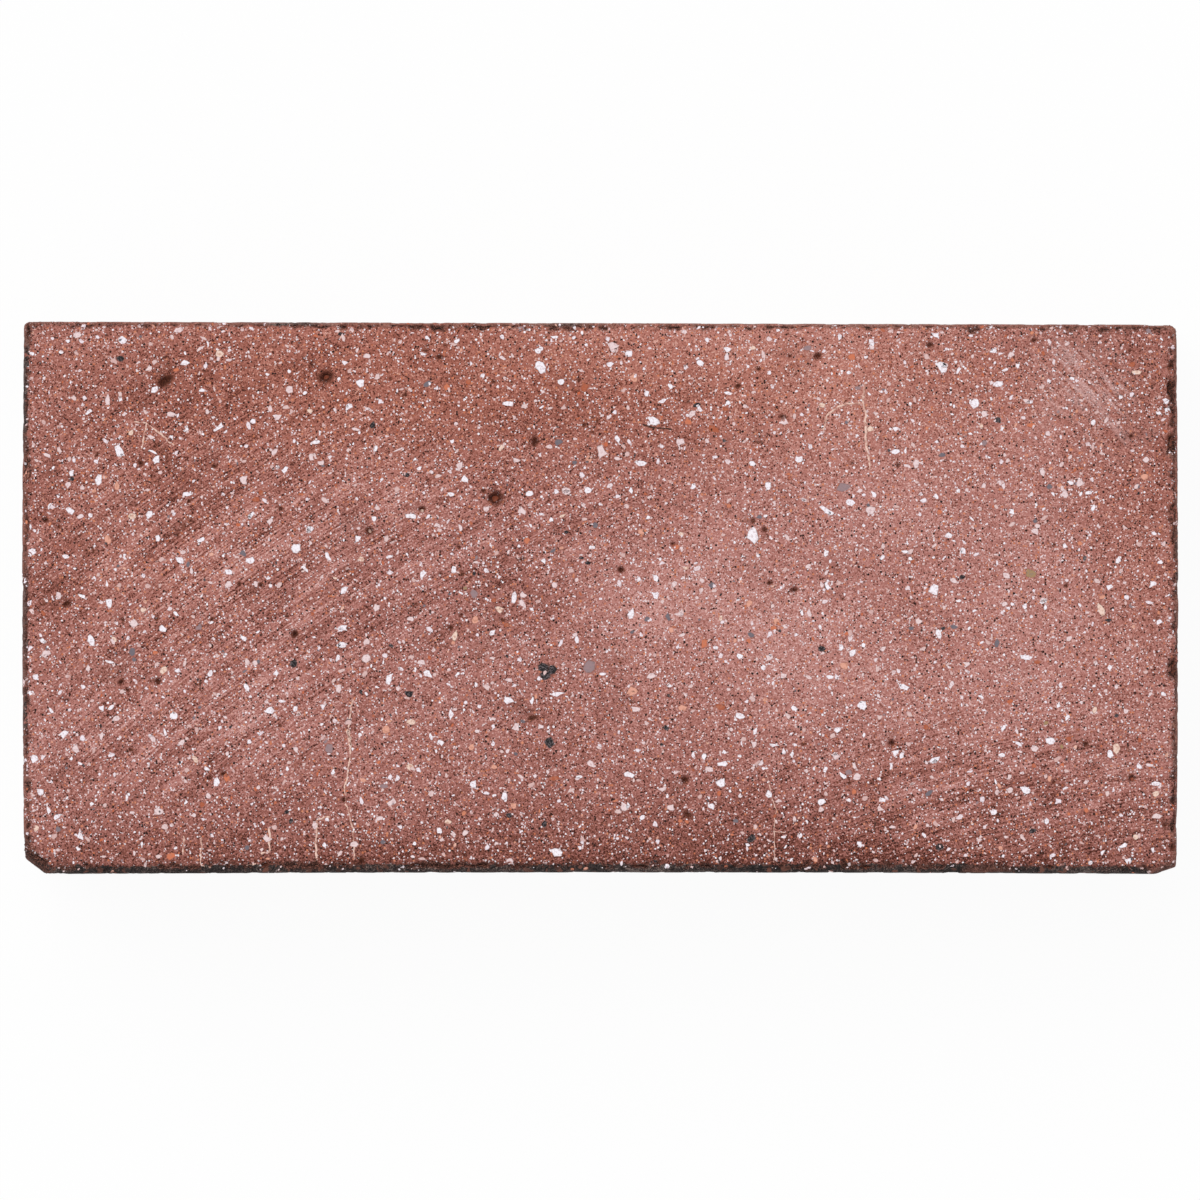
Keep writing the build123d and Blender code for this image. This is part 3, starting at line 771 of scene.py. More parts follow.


# Grains cut flush with the face. Each row read off the photograph: pixel, length and width in pixels,
# and turn in degrees
quartz = {
    "perFace": 2450, "sideShare": 0.28, "bedShare": 0.45,
    "smallest": 0.37 * mm, "typical": 0.20 * mm, "largest": 1.0 * mm, "slimmest": 0.45,
    "proud": 0.03 * mm, "sunk": 0.25 * mm, "raggedness": 0.46, "chipSides": 7,
    "tintLow": 0.0, "tintHigh": 1.0, "seed": 11,
}
quartzRead = {
    "white": [
        (123, 340, 8, 7, 0), (208, 344, 6, 2, 95), (185, 363, 9, 6, 0), (154, 389, 8, 6, 30),
        (120, 399, 6, 4, 90), (89, 412, 8, 4, 45), (219, 427, 13, 5, 36), (119, 451, 11, 9, 90),
        (156, 459, 9, 8, 0), (153, 452, 8, 2.5, -25), (99, 480, 12, 7, 65), (71, 473, 7, 6, 0),
        (285, 470, 8, 5.5, 80), (188, 494, 9, 5, 0), (253, 421, 7, 5, 0), (202, 390, 6, 5, 0),
        (361, 383, 9, 7, 0), (423, 354, 8.5, 5, 0), (457, 341, 6, 5, 0), (541, 366, 15, 9, -55),
        (538, 351, 7, 6, 0), (509, 404, 11, 5, -5), (348, 407, 8, 6, 40), (315, 442, 9.5, 3.5, 0),
        (561, 382, 7.5, 7, 0), (465, 479, 8, 7, 0), (529, 494, 8, 6, 0), (587, 490, 8, 6, 0),
        (451, 494, 7, 5, 0), (482, 376, 6, 5, 0), (554, 337, 8, 3, 0), (629, 354, 8, 6, 0),
        (663, 401, 9, 6, 25), (653, 421, 12, 7, -20), (617, 438, 9, 6, 90), (641, 463, 14, 6.5, 0),
        (700, 363, 7, 7, 0), (728, 349, 8, 5.5, 0), (728, 393, 8.5, 3, -20), (768, 486, 9.5, 6.5, 90),
        (753, 464, 7.5, 5, -35), (799, 459, 7.5, 6.5, 90), (872, 342, 7, 6, 90), (840, 337, 7, 4.5, 90),
        (834, 326, 6, 5, 0), (896, 429, 6.5, 5, 0), (896, 452, 8, 5, 0), (874, 494, 7, 6, 90),
        (693, 487, 6.5, 6, 0), (631, 490, 7, 4, 90), (943, 367, 14.5, 14, 0), (990, 328, 10, 6, 0),
        (936, 335, 8, 6, 0), (998, 384, 10, 6, 0), (975, 403, 11, 10, 0), (958, 371, 8, 4.5, 70),
        (1005, 370, 8, 3.5, 0), (1018, 366, 6, 4.5, 90), (1030, 402, 9.5, 4, 0), (993, 351, 7, 4.5, 0),
        (1166, 401, 7, 6, 0), (1167, 411, 9, 7.5, 90), (1089, 493, 6.5, 4.5, 0), (71, 511, 10, 6, -35),
        (149, 514, 9, 8.5, 0), (32, 552, 8, 7, 90), (66, 557, 7, 5, 0), (24.5, 581, 8, 6, 90),
        (109, 604, 10, 6, 95), (91, 639, 13, 8, 100), (107, 584, 8, 3, 100), (180, 560, 9, 6, -50),
        (201, 540, 9, 5, 20), (158, 538, 7, 5, 35), (230, 572, 8, 8, 0), (250, 560, 8, 7, 0),
        (251, 515, 9, 5, 60), (296, 548, 13, 9, 80), (163, 629, 7, 7, 0), (110, 662, 9, 4, -10),
        (244, 638, 7, 5, -25), (210, 674, 8, 5.5, 70), (276, 673, 7, 4.5, 40), (246, 687, 8, 4.5, -60),
        (310, 530, 8.5, 7, 20), (358, 539, 8, 6, 80), (411, 516, 11, 7, 5), (422, 575, 9, 7, 70),
        (454, 570, 8, 7, 60), (514, 597, 10, 6.5, 80), (343, 628, 10, 5, 0), (344, 590, 9, 6, 35),
        (342, 645, 7, 6, 20), (328, 557, 9, 5, -75), (428, 674, 10, 7, -40), (388, 678, 11, 7, 85),
        (493, 632, 8, 5, 45), (338, 658, 9, 3.5, 75), (305, 569, 7, 4, -50), (753, 536, 17, 10, 82),
        (827, 511, 17, 6, -38), (851, 503, 9, 6, -40), (632, 614, 10, 8, 80), (655, 595, 8, 7, -60),
        (639, 579, 7, 5, 80), (656, 578, 8, 6, -30), (852, 653, 8, 5, 45), (841, 647, 7, 5, 80),
        (764, 668, 6, 5, 0), (830, 677, 8, 5, 0), (603, 674, 7, 4, 0), (715, 648, 7, 4, 0),
        (826, 553, 7, 4, 70), (883, 557, 7, 4, 70), (949, 535, 8, 8, 0), (963, 551, 7, 6, 0),
        (934, 590, 10, 9, -60), (905, 552, 8, 5, 0), (1012, 512, 6, 5, 0), (1065, 546, 7, 5, -15),
        (1118, 560, 8.5, 5, 35), (1153, 584, 9.5, 6.5, 25), (1109, 587, 7, 6.5, 0),
        (1025, 606, 9, 5, 60), (939, 634, 9, 5, -70), (1026, 657, 11, 7, 0), (1159, 622, 7.5, 4.5, 35),
        (1110, 668, 8, 5, 70), (971, 518, 8, 1.8, -45), (1093, 508, 8, 5, 60), (904, 687, 9, 8, 0),
        (31, 693, 6, 6, 0), (51, 711, 9, 3.5, -55), (63, 734, 11, 8, 20), (34, 759, 9, 7, -60),
        (40, 792, 9, 8, -70), (174, 716, 9, 8, 0), (165, 732, 8, 4, -60), (269, 710, 8, 8, 0),
        (281, 701, 8, 4, 0), (207, 769, 6.5, 5, 20), (217, 781, 10, 8, 80), (57, 817, 8, 6, 40),
        (49, 811, 7, 5, -60), (80, 836, 8, 8, 0), (127, 797, 7, 4, 85), (295, 709, 7, 4, 80),
        (451, 714, 11, 6, 100), (508, 700, 11, 9, -60), (441, 743, 7, 5, -35), (473, 784, 9.5, 8, -50),
        (504, 796, 8, 7, 60), (556, 852, 14, 8, 0), (579, 777, 6, 4, 0), (417, 865, 10, 6, 80),
        (431, 737, 8, 3, -70), (532, 701, 8, 4, 80), (558, 694, 12, 4, 10), (741, 716, 10, 8, -15),
        (862, 705, 9, 8, 90), (795, 709, 7, 5, -35), (722, 764, 9, 6, 5), (629, 775, 10, 6, 0),
        (721, 783, 10, 8.5, 10), (693, 755, 8, 4, 85), (774, 745, 8, 4, -5), (792, 754, 8, 5, 80),
        (837, 730, 8.5, 5.5, 30), (769, 794, 9, 8, 0), (711, 806, 6, 6, 0), (883, 800, 7, 6, 0),
        (859, 844, 8, 5, -70), (748, 845, 7, 4, -15), (668, 866, 8, 6, 30), (821, 802, 8, 6, 0),
        (896, 753, 7, 6, 45), (935, 760, 10, 7, 35), (1002, 755, 9, 6, -20), (1051, 741, 9, 8, 0),
        (1110, 753, 8, 6, -80), (1139, 766, 7, 4, -35), (1156, 784, 9, 5, 0), (1025, 791, 10, 7, -20),
        (993, 812, 7, 5, -10), (1003, 729, 8, 4, 55), (1067, 718, 8, 5, 50), (1123, 846, 8, 4, 25),
        (1153, 850, 8, 4, 105), (1128, 861, 7, 7, 0), (1047, 821, 7, 6, 0), (901, 756, 9, 5, 80),
    ],
    "pinkish": [
        (77, 335, 11, 8, 0), (178, 330, 8, 7, 0), (108, 400, 10, 7, 90), (171, 414, 7, 6, 0),
        (207, 412, 7, 5, 90), (278, 417, 8, 6, 30), (151, 437, 7, 5, 0), (68, 485, 7, 7, 0),
        (47, 455, 8, 6, -40), (274, 452, 8, 5, 45), (244, 480, 8.5, 8, 0), (290, 389, 9, 8, 0),
        (149, 369, 7, 6, 0), (355, 429, 11, 4, -10), (311, 457, 7, 6, 0), (321, 463, 6.5, 5.5, 0),
        (567, 490, 10, 6, 0), (367, 356, 7, 5, 0), (460, 466, 9, 7, 60), (398, 450, 11, 2, 25),
        (613, 348, 12.5, 9, -20), (692, 414, 9, 8, 90), (680, 442, 9, 8, 90), (602, 452, 13, 10, 90),
        (769, 339, 7, 6, 0), (784, 422, 8, 7, 90), (984, 414, 8, 5.5, 0), (916, 464, 8, 8, 0),
        (984, 486, 7, 5, 50), (1042, 472, 8, 7, 90), (1079, 484, 9, 9, 0), (1064, 494, 9, 8, 90),
        (1146, 459, 8, 6, 90), (1048, 434, 8, 5, -40), (1011, 355, 7, 6, 0), (134, 623, 9, 7, 90),
        (59, 595, 8, 5, 90), (46, 654, 8, 7, 0), (88, 669, 8, 7, 90), (228, 584, 7, 7, 0),
        (256, 584, 8, 6, 90), (270, 522, 8, 6, 60), (523, 595, 7, 7, 0), (523, 604, 11, 6.5, -60),
        (377, 608, 9, 7, 80), (410, 619, 8, 5, 0), (554, 585, 7, 6, 0), (366, 658, 9, 7, 20),
        (422, 662, 9, 6, 0), (508, 680, 8, 6, -20), (522, 511, 8, 8, 0), (567, 492, 10, 5, 0),
        (575, 635, 7, 6, 0), (338, 688, 8, 6, 85), (870, 510, 12, 9, -15), (822, 585, 8, 6, 70),
        (883, 649, 8, 6, 80), (769, 658, 8, 6, -20), (783, 676, 7, 5, 20), (651, 676, 8, 7, 0),
        (682, 635, 8, 5, 20), (678, 614, 10, 3, 0), (954, 580, 8, 6, -35), (1035, 532, 7, 6, 0),
        (1042, 600, 8, 6, 80), (1006, 575, 8, 7, 40), (919, 621, 7, 6, 0), (967, 664, 7, 6, 0),
        (76, 749, 9, 7, 80), (116, 719, 7, 7, 0), (153, 739, 8, 8, 0), (181, 743, 8, 5.5, 50),
        (208, 796, 7, 7, 0), (159, 812, 8, 7, 0), (267, 839, 9, 8, 0), (296, 750, 8, 5, -60),
        (516, 727, 8, 7, 0), (392, 802, 9, 6, 30), (379, 818, 8, 5, 15), (465, 833, 9, 7, 0),
        (591, 764, 9, 8, 0), (467, 864, 8, 4, 0), (510, 861, 7, 7, 0), (315, 825, 9, 6, 75),
        (354, 844, 7, 6, 0), (635, 709, 9, 6, -15), (663, 789, 10, 5, 10), (625, 807, 9, 8, 70),
        (671, 807, 8, 7, 0), (709, 770, 7, 6, -20), (754, 744, 8, 6, -60), (857, 776, 9, 8, 60),
        (836, 756, 8, 7, 0), (1034, 749, 9, 7, 55), (1157, 816, 9, 6, 0), (893, 827, 7, 4, 10),
    ],
}
quartzTints = {"white": 0.92, "pinkish": 0.5}
specks = {
    "perFace": 2400, "sideShare": 0.4, "bedShare": 0.5,
    "smallest": 0.20 * mm, "typical": 0.06 * mm, "largest": 0.40 * mm, "slimmest": 0.5,
    "proud": 0.02 * mm, "sunk": 0.12 * mm, "raggedness": 0.25, "chipSides": 5,
    "tintLow": 0.35, "tintHigh": 1.0, "seed": 23,
}
grog = {
    "perFace": 540, "sideShare": 0.3, "bedShare": 0.45,
    "smallest": 0.37 * mm, "typical": 0.14 * mm, "largest": 0.9 * mm, "slimmest": 0.5,
    "proud": 0.02 * mm, "sunk": 0.25 * mm, "raggedness": 0.3, "chipSides": 7,
    "tintLow": 0.0, "tintHigh": 0.8, "seed": 37,
}
grogRead = {
    "cream": [
        (219, 354, 9, 8, 0), (131, 433, 7, 6, 60), (132, 516, 8, 7, -20), (114, 639, 8, 4, -50),
        (163, 670, 8, 8, 0), (143, 610, 6, 5, 0), (310, 411, 6.5, 6, 0), (501, 448, 8, 5.5, 60),
        (422, 511, 7, 6, 0), (370, 531, 6, 5, 0), (361, 559, 8, 7, 0), (455, 636, 11, 6, 75),
        (499, 609, 9, 7, -35), (335, 578, 6, 3, -30), (753, 348, 6.5, 5, 0), (822, 405, 8, 5.5, -25),
        (870, 429, 9, 7, 30), (681, 534, 6, 4, 0), (686, 568, 7, 3.5, 0), (721, 618, 7, 4, 85),
        (981, 426, 6, 4, 90), (1136, 372, 10, 5, 0), (1117, 749, 11, 8, 105), (1095, 710, 7, 4.5, 65),
        (1156, 794, 7, 6, 0), (1136, 837, 6, 5, 0), (195, 759, 9, 4.5, -60), (36, 828, 8, 6.5, 40),
        (411, 722, 9, 7, -10), (410, 767, 8, 7, 0), (448, 822, 7, 6, 0), (1101, 610, 13, 6.5, 112),
        (562, 516, 8, 3, 25),
    ],
    "peach": [
        (117, 486, 8, 5, 90), (28, 475, 6.5, 6, 0), (108, 540, 11, 6.5, 110), (634, 378, 10.5, 8, -60),
        (589, 459, 7.5, 7, 0), (475, 620, 9, 7, 80), (494, 767, 7, 5, 0), (472, 747, 7, 6, 70),
        (514, 806, 8, 6, -60), (386, 729, 11, 8, 70), (389, 721, 6, 4, 0), (750, 603, 8, 7, 40),
        (776, 621, 7, 6, -60), (671, 630, 7, 6, 70), (641, 532, 7, 6, 0), (844, 666, 9, 8, 0),
        (632, 691, 11, 10, 0), (682, 708, 9, 7, 10), (815, 859, 7, 6, -50), (1145, 477, 9, 6, 0),
        (1050, 779, 8, 5, 80), (1000, 848, 6, 5, -70), (765, 700, 6, 4, 0), (363, 780, 8, 4, -20),
    ],
    "orange": [
        (176, 370, 8, 4, 10), (447, 387, 8, 7, 45), (688, 422, 9, 7, 0), (852, 357, 8, 6, 0),
        (1032, 425, 9, 5, 0), (527, 541, 8, 7, 70), (676, 547, 7, 6, 0), (774, 628, 7, 6, 0),
        (704, 644, 10, 6, 80), (227, 778, 8, 7, 60), (171, 856, 9, 7, 0), (680, 821, 5, 4, 0),
        (687, 822, 5, 4, 0), (854, 792, 7, 5, 70), (1086, 810, 6, 5, -30), (939, 512, 6, 6, 0),
        (155, 653, 6, 4, 0), (945, 543, 6, 5, 0),
    ],
    "brownRed": [
        (495, 498, 9, 8, 0), (326, 377, 8, 6, 20), (713, 429, 12, 8, -30), (725, 409, 7, 5, -20),
        (585, 387, 10, 7, 70), (256, 499, 10, 6, 0), (506, 625, 7, 5, 0), (494, 600, 6, 5, 0),
        (555, 778, 11, 5, 10), (202, 805, 6, 6, 0), (465, 859, 7, 6, 0), (721, 707, 12, 6, -20),
        (1132, 779, 5, 4, 0), (1132, 365, 8, 6, 0), (926, 727, 6, 6, 0), (1069, 739, 6, 6, 0),
        (1173, 805, 7, 6, 0), (1038, 662, 8, 5, 0),
    ],
}
grogTints = {"cream": 0.95, "peach": 0.66, "orange": 0.36, "brownRed": 0.06}
grit = {
    "perFace": 110, "sideShare": 0.4, "bedShare": 0.5,
    "smallest": 0.37 * mm, "typical": 0.2 * mm, "largest": 1.0 * mm, "slimmest": 0.5,
    "proud": 0.02 * mm, "sunk": 0.25 * mm, "raggedness": 0.3, "chipSides": 7,
    "tintLow": 0.0, "tintHigh": 0.8, "seed": 53,
}
gritRead = {
    "black": [
        (120, 359, 8, 6, 0), (72, 479, 5, 5, 0), (543, 667, 12, 12, 10), (551, 670, 12, 11, 60),
        (545, 676, 11, 9, 0), (549, 742, 13, 11, 20), (373, 425, 8.5, 7, 80), (406, 475, 7, 6, 0),
        (341, 334, 8, 5, 0), (588, 563, 7, 5, 0), (581, 558, 6, 3, 0), (566, 532, 6, 4, 20),
        (294, 663, 9, 9, 0), (544, 824, 8, 6, 80), (751, 839, 10, 8, 40), (654, 862, 8, 5, 0),
        (718, 862, 8, 4, 90), (1109, 620, 8, 3.5, -5), (1033, 831, 9, 5, 15), (940, 847, 9, 7, 10),
        (409, 694, 11, 8, -10), (822, 649, 8, 8, 0), (666, 728, 7, 6, 0), (697, 405, 8, 5, 10),
        (998, 420, 8, 7, 0), (962, 577, 7, 5, 10), (287, 812, 6, 5, 0), (291, 821, 6, 5, 0),
        (1066, 866, 9, 7, 0),
    ],
    "blueGrey": [
        (427, 384, 10, 6, 20), (132, 652, 8, 8, 0), (134, 660, 5, 5, 0), (712, 585, 8, 6, 80),
        (668, 617, 9, 5, -80), (647, 619, 6, 5, 0), (751, 635, 7, 6, 0), (954, 627, 9, 5, 0),
        (911, 628, 6, 4, -10), (997, 644, 9, 6, 80), (929, 793, 10, 6, 35), (1035, 521, 5, 5, 0),
        (736, 821, 6, 5, 0), (188, 564, 8, 4, 80), (243, 553, 8, 6, -60), (595, 525, 7, 6, 45),
        (759, 517, 6, 4, 0), (1049, 487, 6.5, 6, 0), (1138, 486, 6, 5.5, 0), (553, 551, 8, 4, 25),
        (558, 442, 10, 8, 0), (942, 455, 8, 5, 0), (247, 848, 6, 5, 80), (383, 842, 6, 6, 0),
    ],
    "lilacGrey": [
        (520, 329, 8.5, 5.5, 0), (589, 667, 17, 15, 90), (329, 749, 11, 10, -50), (808, 348, 9, 5.5, 0),
        (858, 388, 7, 5, 0), (843, 487, 15, 9, 10), (474, 594, 9, 8, 60), (199, 627, 8, 7, 60),
        (849, 772, 8, 7, -30), (984, 443, 7, 6, 0),
    ],
    "olive": [
        (1030, 574, 12, 10, 10), (465, 588, 5, 4, 0), (1062, 747, 5, 5, 0), (1046, 723, 6, 4, 30),
    ],
}
gritTints = {"black": 0.05, "blueGrey": 0.45, "lilacGrey": 0.75, "olive": 1.0}
# What all grains share. Radii and reaches are in widths of the grain
chips = {
    "topRadius": 0.5, "footRadius": 0.62, "rimFrom": 0.1, "cornerReach": 1.05, "mostSides": 16,
    "topFrom": 0.5,  # the upper half of a chip's height
    "flatFrom": 0.8,  # flatter than this is the wearing face or the bed face
    "pitRim": 0.35,  # none is strewn further into a pit than this
    "rarest": 0.001,
    "readShare": 0.9,  # the rows give the outer size
}
# Read points and lines fall from above the face onto it
fall = {"from": (0, 0, 10 * mm), "along": (0, 0, -1), "length": 50 * mm}


def buildGrainTree():
    sizes = ["perFace", "sideShare", "bedShare", "smallest", "typical", "largest", "slimmest", "proud",
             "sunk", "raggedness", "tintLow", "tintHigh"]
    sockets = {"Geometry": "Geometry", "body": "Object", "chipSides": "Int", "seed": "Int",
               "material": "Material"}
    tree, given = newTree("cutGrains", {**sockets, **dict.fromkeys(sizes, "Float")})
    node = partial(addNode, tree)
    body = node("GeometryNodeObjectInfo", {"Object": given["body"]}, out="Geometry")
    seeds = [node("math", {0: given["seed"], 1: float(step)}, operation="ADD") for step in range(4)]

    # Strewn over the whole body, fewer on the sides and the bed, and none in a pit
    lean = node("split", {0: node("GeometryNodeInputNormal")}, out="Z")
    upward = node("compare", {0: lean, 1: chips["flatFrom"]}, operation="GREATER_THAN")
    downward = node("compare", {0: lean, 1: -chips["flatFrom"]}, operation="LESS_THAN")
    share = node("GeometryNodeSwitch", {"Switch": downward, "False": given["sideShare"],
                                        "True": given["bedShare"]}, input_type="FLOAT")
    share = node("GeometryNodeSwitch", {"Switch": upward, "False": share, "True": 1.0}, input_type="FLOAT")
    inPit = node("named", {"Name": "pit"})
    sound = node("compare", {0: inPit, 1: chips["pitRim"]}, operation="LESS_THAN")
    share = node("math", {0: share, 1: sound}, operation="MULTIPLY")
    density = node("math", {0: given["perFace"], 1: faceArea}, operation="DIVIDE")
    density = node("math", {0: density, 1: share}, operation="MULTIPLY")
    strewn = node("GeometryNodeDistributePointsOnFaces",
                  {"Mesh": body, "Density": density, "Seed": given["seed"]})
    facing = strewn.node.outputs["Normal"]

    # Most are small, with a few large ones
    lucky = node("random", {2: chips["rarest"], 3: 1.0, "Seed": seeds[0]}, out=1)
    rare = node("math", {0: lucky, 1: math.e}, operation="LOGARITHM")
    rare = node("math", {0: rare, 1: -1.0}, operation="MULTIPLY")
    size = node("math", {0: rare, 1: given["typical"], 2: given["smallest"]}, operation="MULTIPLY_ADD")
    size = node("math", {0: size, 1: given["largest"]}, operation="MINIMUM")
    slim = node("random", {2: given["slimmest"], 3: 1.0, "Seed": seeds[1]}, out=1)
    slim = node("math", {0: slim}, operation="SQRT")
    drawn = {
        "grainLong": node("math", {0: size, 1: slim}, operation="DIVIDE"),
        "grainShort": node("math", {0: size, 1: slim}, operation="MULTIPLY"),
        "grainTurn": node("random", {3: 2 * math.pi, "Seed": seeds[2]}, out=1),
        "grainTint": node("random", {2: given["tintLow"], 3: given["tintHigh"], "Seed": seeds[3]}, out=1),
    }
    strewn = node("store", {"Geometry": strewn, "Name": "grainNormal", "Value": facing},
                  data_type="FLOAT_VECTOR")
    for label, value in drawn.items():
        strewn = node("store", {"Geometry": strewn, "Name": label, "Value": value})

    # Those read off the photograph fall onto the face below them
    read = node("GeometryNodeMeshToPoints", {"Mesh": given["Geometry"]})
    above = node("vector", {0: node("place"), 1: fall["from"]}, operation="ADD")
    ray = {"Target Geometry": body, "Source Position": above, "Ray Direction": fall["along"],
           "Ray Length": fall["length"]}
    landed = node("GeometryNodeRaycast", ray, out="Hit Position")
    slope = landed.node.outputs["Hit Normal"]
    read = node("store", {"Geometry": read, "Name": "grainNormal", "Value": slope}, data_type="FLOAT_VECTOR")
    read = node("move", {"Geometry": read, "Position": landed})

    points = node("GeometryNodeJoinGeometry", {0: strewn})
    tree.links.new(read, points.node.inputs[0])
    named = {label: node("named", {"Name": label})
             for label in (*drawn, "grainCell", "rimPlace", "chipHeight")}
    facing = node("named", {"Name": "grainNormal"}, data_type="FLOAT_VECTOR")
    low = node("math", {0: given["sunk"], 1: -1.0}, operation="MULTIPLY")
    inward = node("vector", {0: facing, "Scale": low}, operation="SCALE")
    points = node("move", {"Geometry": points, "Offset": inward})
    index = node("GeometryNodeInputIndex")
    points = node("store", {"Geometry": points, "Name": "grainCell", "Value": index})
    points = node("store", {"Geometry": points, "Name": "grainCentre", "Value": node("place")},
                  data_type="FLOAT_VECTOR")

    # One chip, wider below, set on every point with its own turn and length
    chip = node("GeometryNodeMeshCone", {"Vertices": given["chipSides"], "Radius Top": chips["topRadius"],
                                         "Radius Bottom": chips["footRadius"], "Depth": 1.0},
                fill_type="TRIANGLE_FAN")
    chipParts = node("split", {0: node("place")}).node.outputs
    level = node("vector from", {0: chipParts["X"], 1: chipParts["Y"]})
    away = node("vector", {0: level}, out="Value", operation="LENGTH")
    rim = node("math", {0: away, 1: chips["rimFrom"]}, operation="GREATER_THAN")
    order = node("math", {0: index, 1: 1.0}, operation="SUBTRACT")
    order = node("math", {0: order, 1: given["chipSides"]}, operation="MODULO")
    for label, value in (("rimPlace", order), ("chipHeight", chipParts["Z"]), ("grainRim", rim)):
        chip = node("store", {"Geometry": chip, "Name": label, "Value": value})
    turned = node("FunctionNodeAlignRotationToVector", {"Vector": facing}, axis="Z")
    spin = node("FunctionNodeAxisAngleToRotation", {"Axis": (0, 0, 1), "Angle": named["grainTurn"]})
    turned = node("FunctionNodeRotateRotation", {"Rotation": turned, "Rotate By": spin},
                  rotation_space="LOCAL")
    depth = node("math", {0: given["sunk"], 1: given["proud"]}, operation="ADD")
    scale = node("vector from", {0: named["grainLong"], 1: named["grainShort"], 2: depth})
    grains = node("GeometryNodeInstanceOnPoints",
                  {"Points": points, "Instance": chip, "Rotation": turned, "Scale": scale})
    grains = node("GeometryNodeRealizeInstances", {"Geometry": grains})

    # Every corner of a chip moves in or out on its own, which makes it angular
    centre = node("named", {"Name": "grainCentre"}, data_type="FLOAT_VECTOR")
    arm = node("vector", {0: node("place"), 1: centre}, operation="SUBTRACT")
    rise = node("vector", {0: arm, 1: facing}, out="Value", operation="DOT_PRODUCT")
    rise = node("vector", {0: facing, "Scale": rise}, operation="SCALE")
    flat = node("vector", {0: arm, 1: rise}, operation="SUBTRACT")
    corner = node("math", {0: named["grainCell"], 1: float(chips["mostSides"]), 2: named["rimPlace"]},
                  operation="MULTIPLY_ADD")
    least = node("math", {0: chips["cornerReach"], 1: given["raggedness"]}, operation="SUBTRACT")
    most = node("math", {0: chips["cornerReach"], 1: given["raggedness"]}, operation="ADD")
    stretch = node("random", {2: least, 3: most, "ID": corner, "Seed": given["seed"]}, out=1)
    flat = node("vector", {0: flat, "Scale": stretch}, operation="SCALE")
    arm = node("vector", {0: rise, 1: flat}, operation="ADD")
    place = node("vector", {0: centre, 1: arm}, operation="ADD")
    grains = node("move", {"Geometry": grains, "Position": place})

    # The chip is laid onto the body, so that it follows a worn arris: its top a little proud, its foot sunk
    ground = node("GeometryNodeProximity", {0: body}, out="Position", target_element="FACES")
    top = node("compare", {0: named["chipHeight"], 1: chips["topFrom"]}, operation="GREATER_THAN")
    stand = node("GeometryNodeSwitch", {"Switch": top, "False": low, "True": given["proud"]},
                 input_type="FLOAT")
    stand = node("vector", {0: facing, "Scale": stand}, operation="SCALE")
    grains = node("move", {"Geometry": grains, "Position": ground, "Offset": stand})
    grains = node("GeometryNodeSetMaterial", {"Geometry": grains, "Material": given["material"]})
    node("NodeGroupOutput", {0: grains})
    return tree


# A UV map named OFBake: every grain has its own square, its hidden underside in one corner
grainMap = {
    "place": 0.5, "topReach": 0.36, "footReach": 0.45,
    "hiddenPlace": 0.96, "hiddenReach": 0.03, "hiddenBelow": 0.25,
}


def addGrainMap(mesh, sides):
    corners = readCounts(mesh.loops, "vertex_index")
    labels = ("grainCell", "rimPlace", "chipHeight", "grainRim")
    cell, order, height, rim = (readOff(mesh, label)[corners] for label in labels)
    totals = readCounts(mesh.polygons, "loop_total")
    owner = np.repeat(np.arange(len(totals)), totals)
    hidden = (np.bincount(owner, height) / totals < grainMap["hiddenBelow"])[owner]
    turn = 2 * math.pi * order / sides
    reach = np.where(height > chips["topFrom"], grainMap["topReach"], grainMap["footReach"]) * rim
    middle = np.full(len(corners), grainMap["place"])
    reach[hidden] = grainMap["hiddenReach"] * rim[hidden]
    middle[hidden] = grainMap["hiddenPlace"]
    across = math.ceil(math.sqrt(cell.max() + 1))
    u = (cell % across + middle + reach * np.cos(turn)) / across
    v = (cell // across + middle + reach * np.sin(turn)) / across
    flat = np.stack([u, v], 1).astype(np.float32)
    mesh.uv_layers.new(name="OFBake").uv.foreach_set("vector", flat.ravel())
    spent = ("grainCell", "rimPlace", "chipHeight", "grainCentre", "grainNormal", "grainLong", "grainShort",
             "grainTurn")
    for label in spent:
        mesh.attributes.remove(mesh.attributes[label])


def makeGrains(name, body, tree, material, values, read=None, tints=None):
    rows = []
    share = chips["readShare"]
    for group, spots in (read or {}).items():
        for px, py, long, short, turn in spots:
            size = (share * long * pixel, share * short * pixel)
            rows.append((px, py, *size, math.radians(turn), tints[group]))
    piece = readPoints(name, rows, ["grainLong", "grainShort", "grainTurn", "grainTint"])
    piece.data = plainMesh(piece, tree, {**values, "body": body, "material": material})
    addGrainMap(piece.data, values["chipSides"])
    print(name + ":", len(piece.data.polygons), "faces")
    finishPiece(piece)


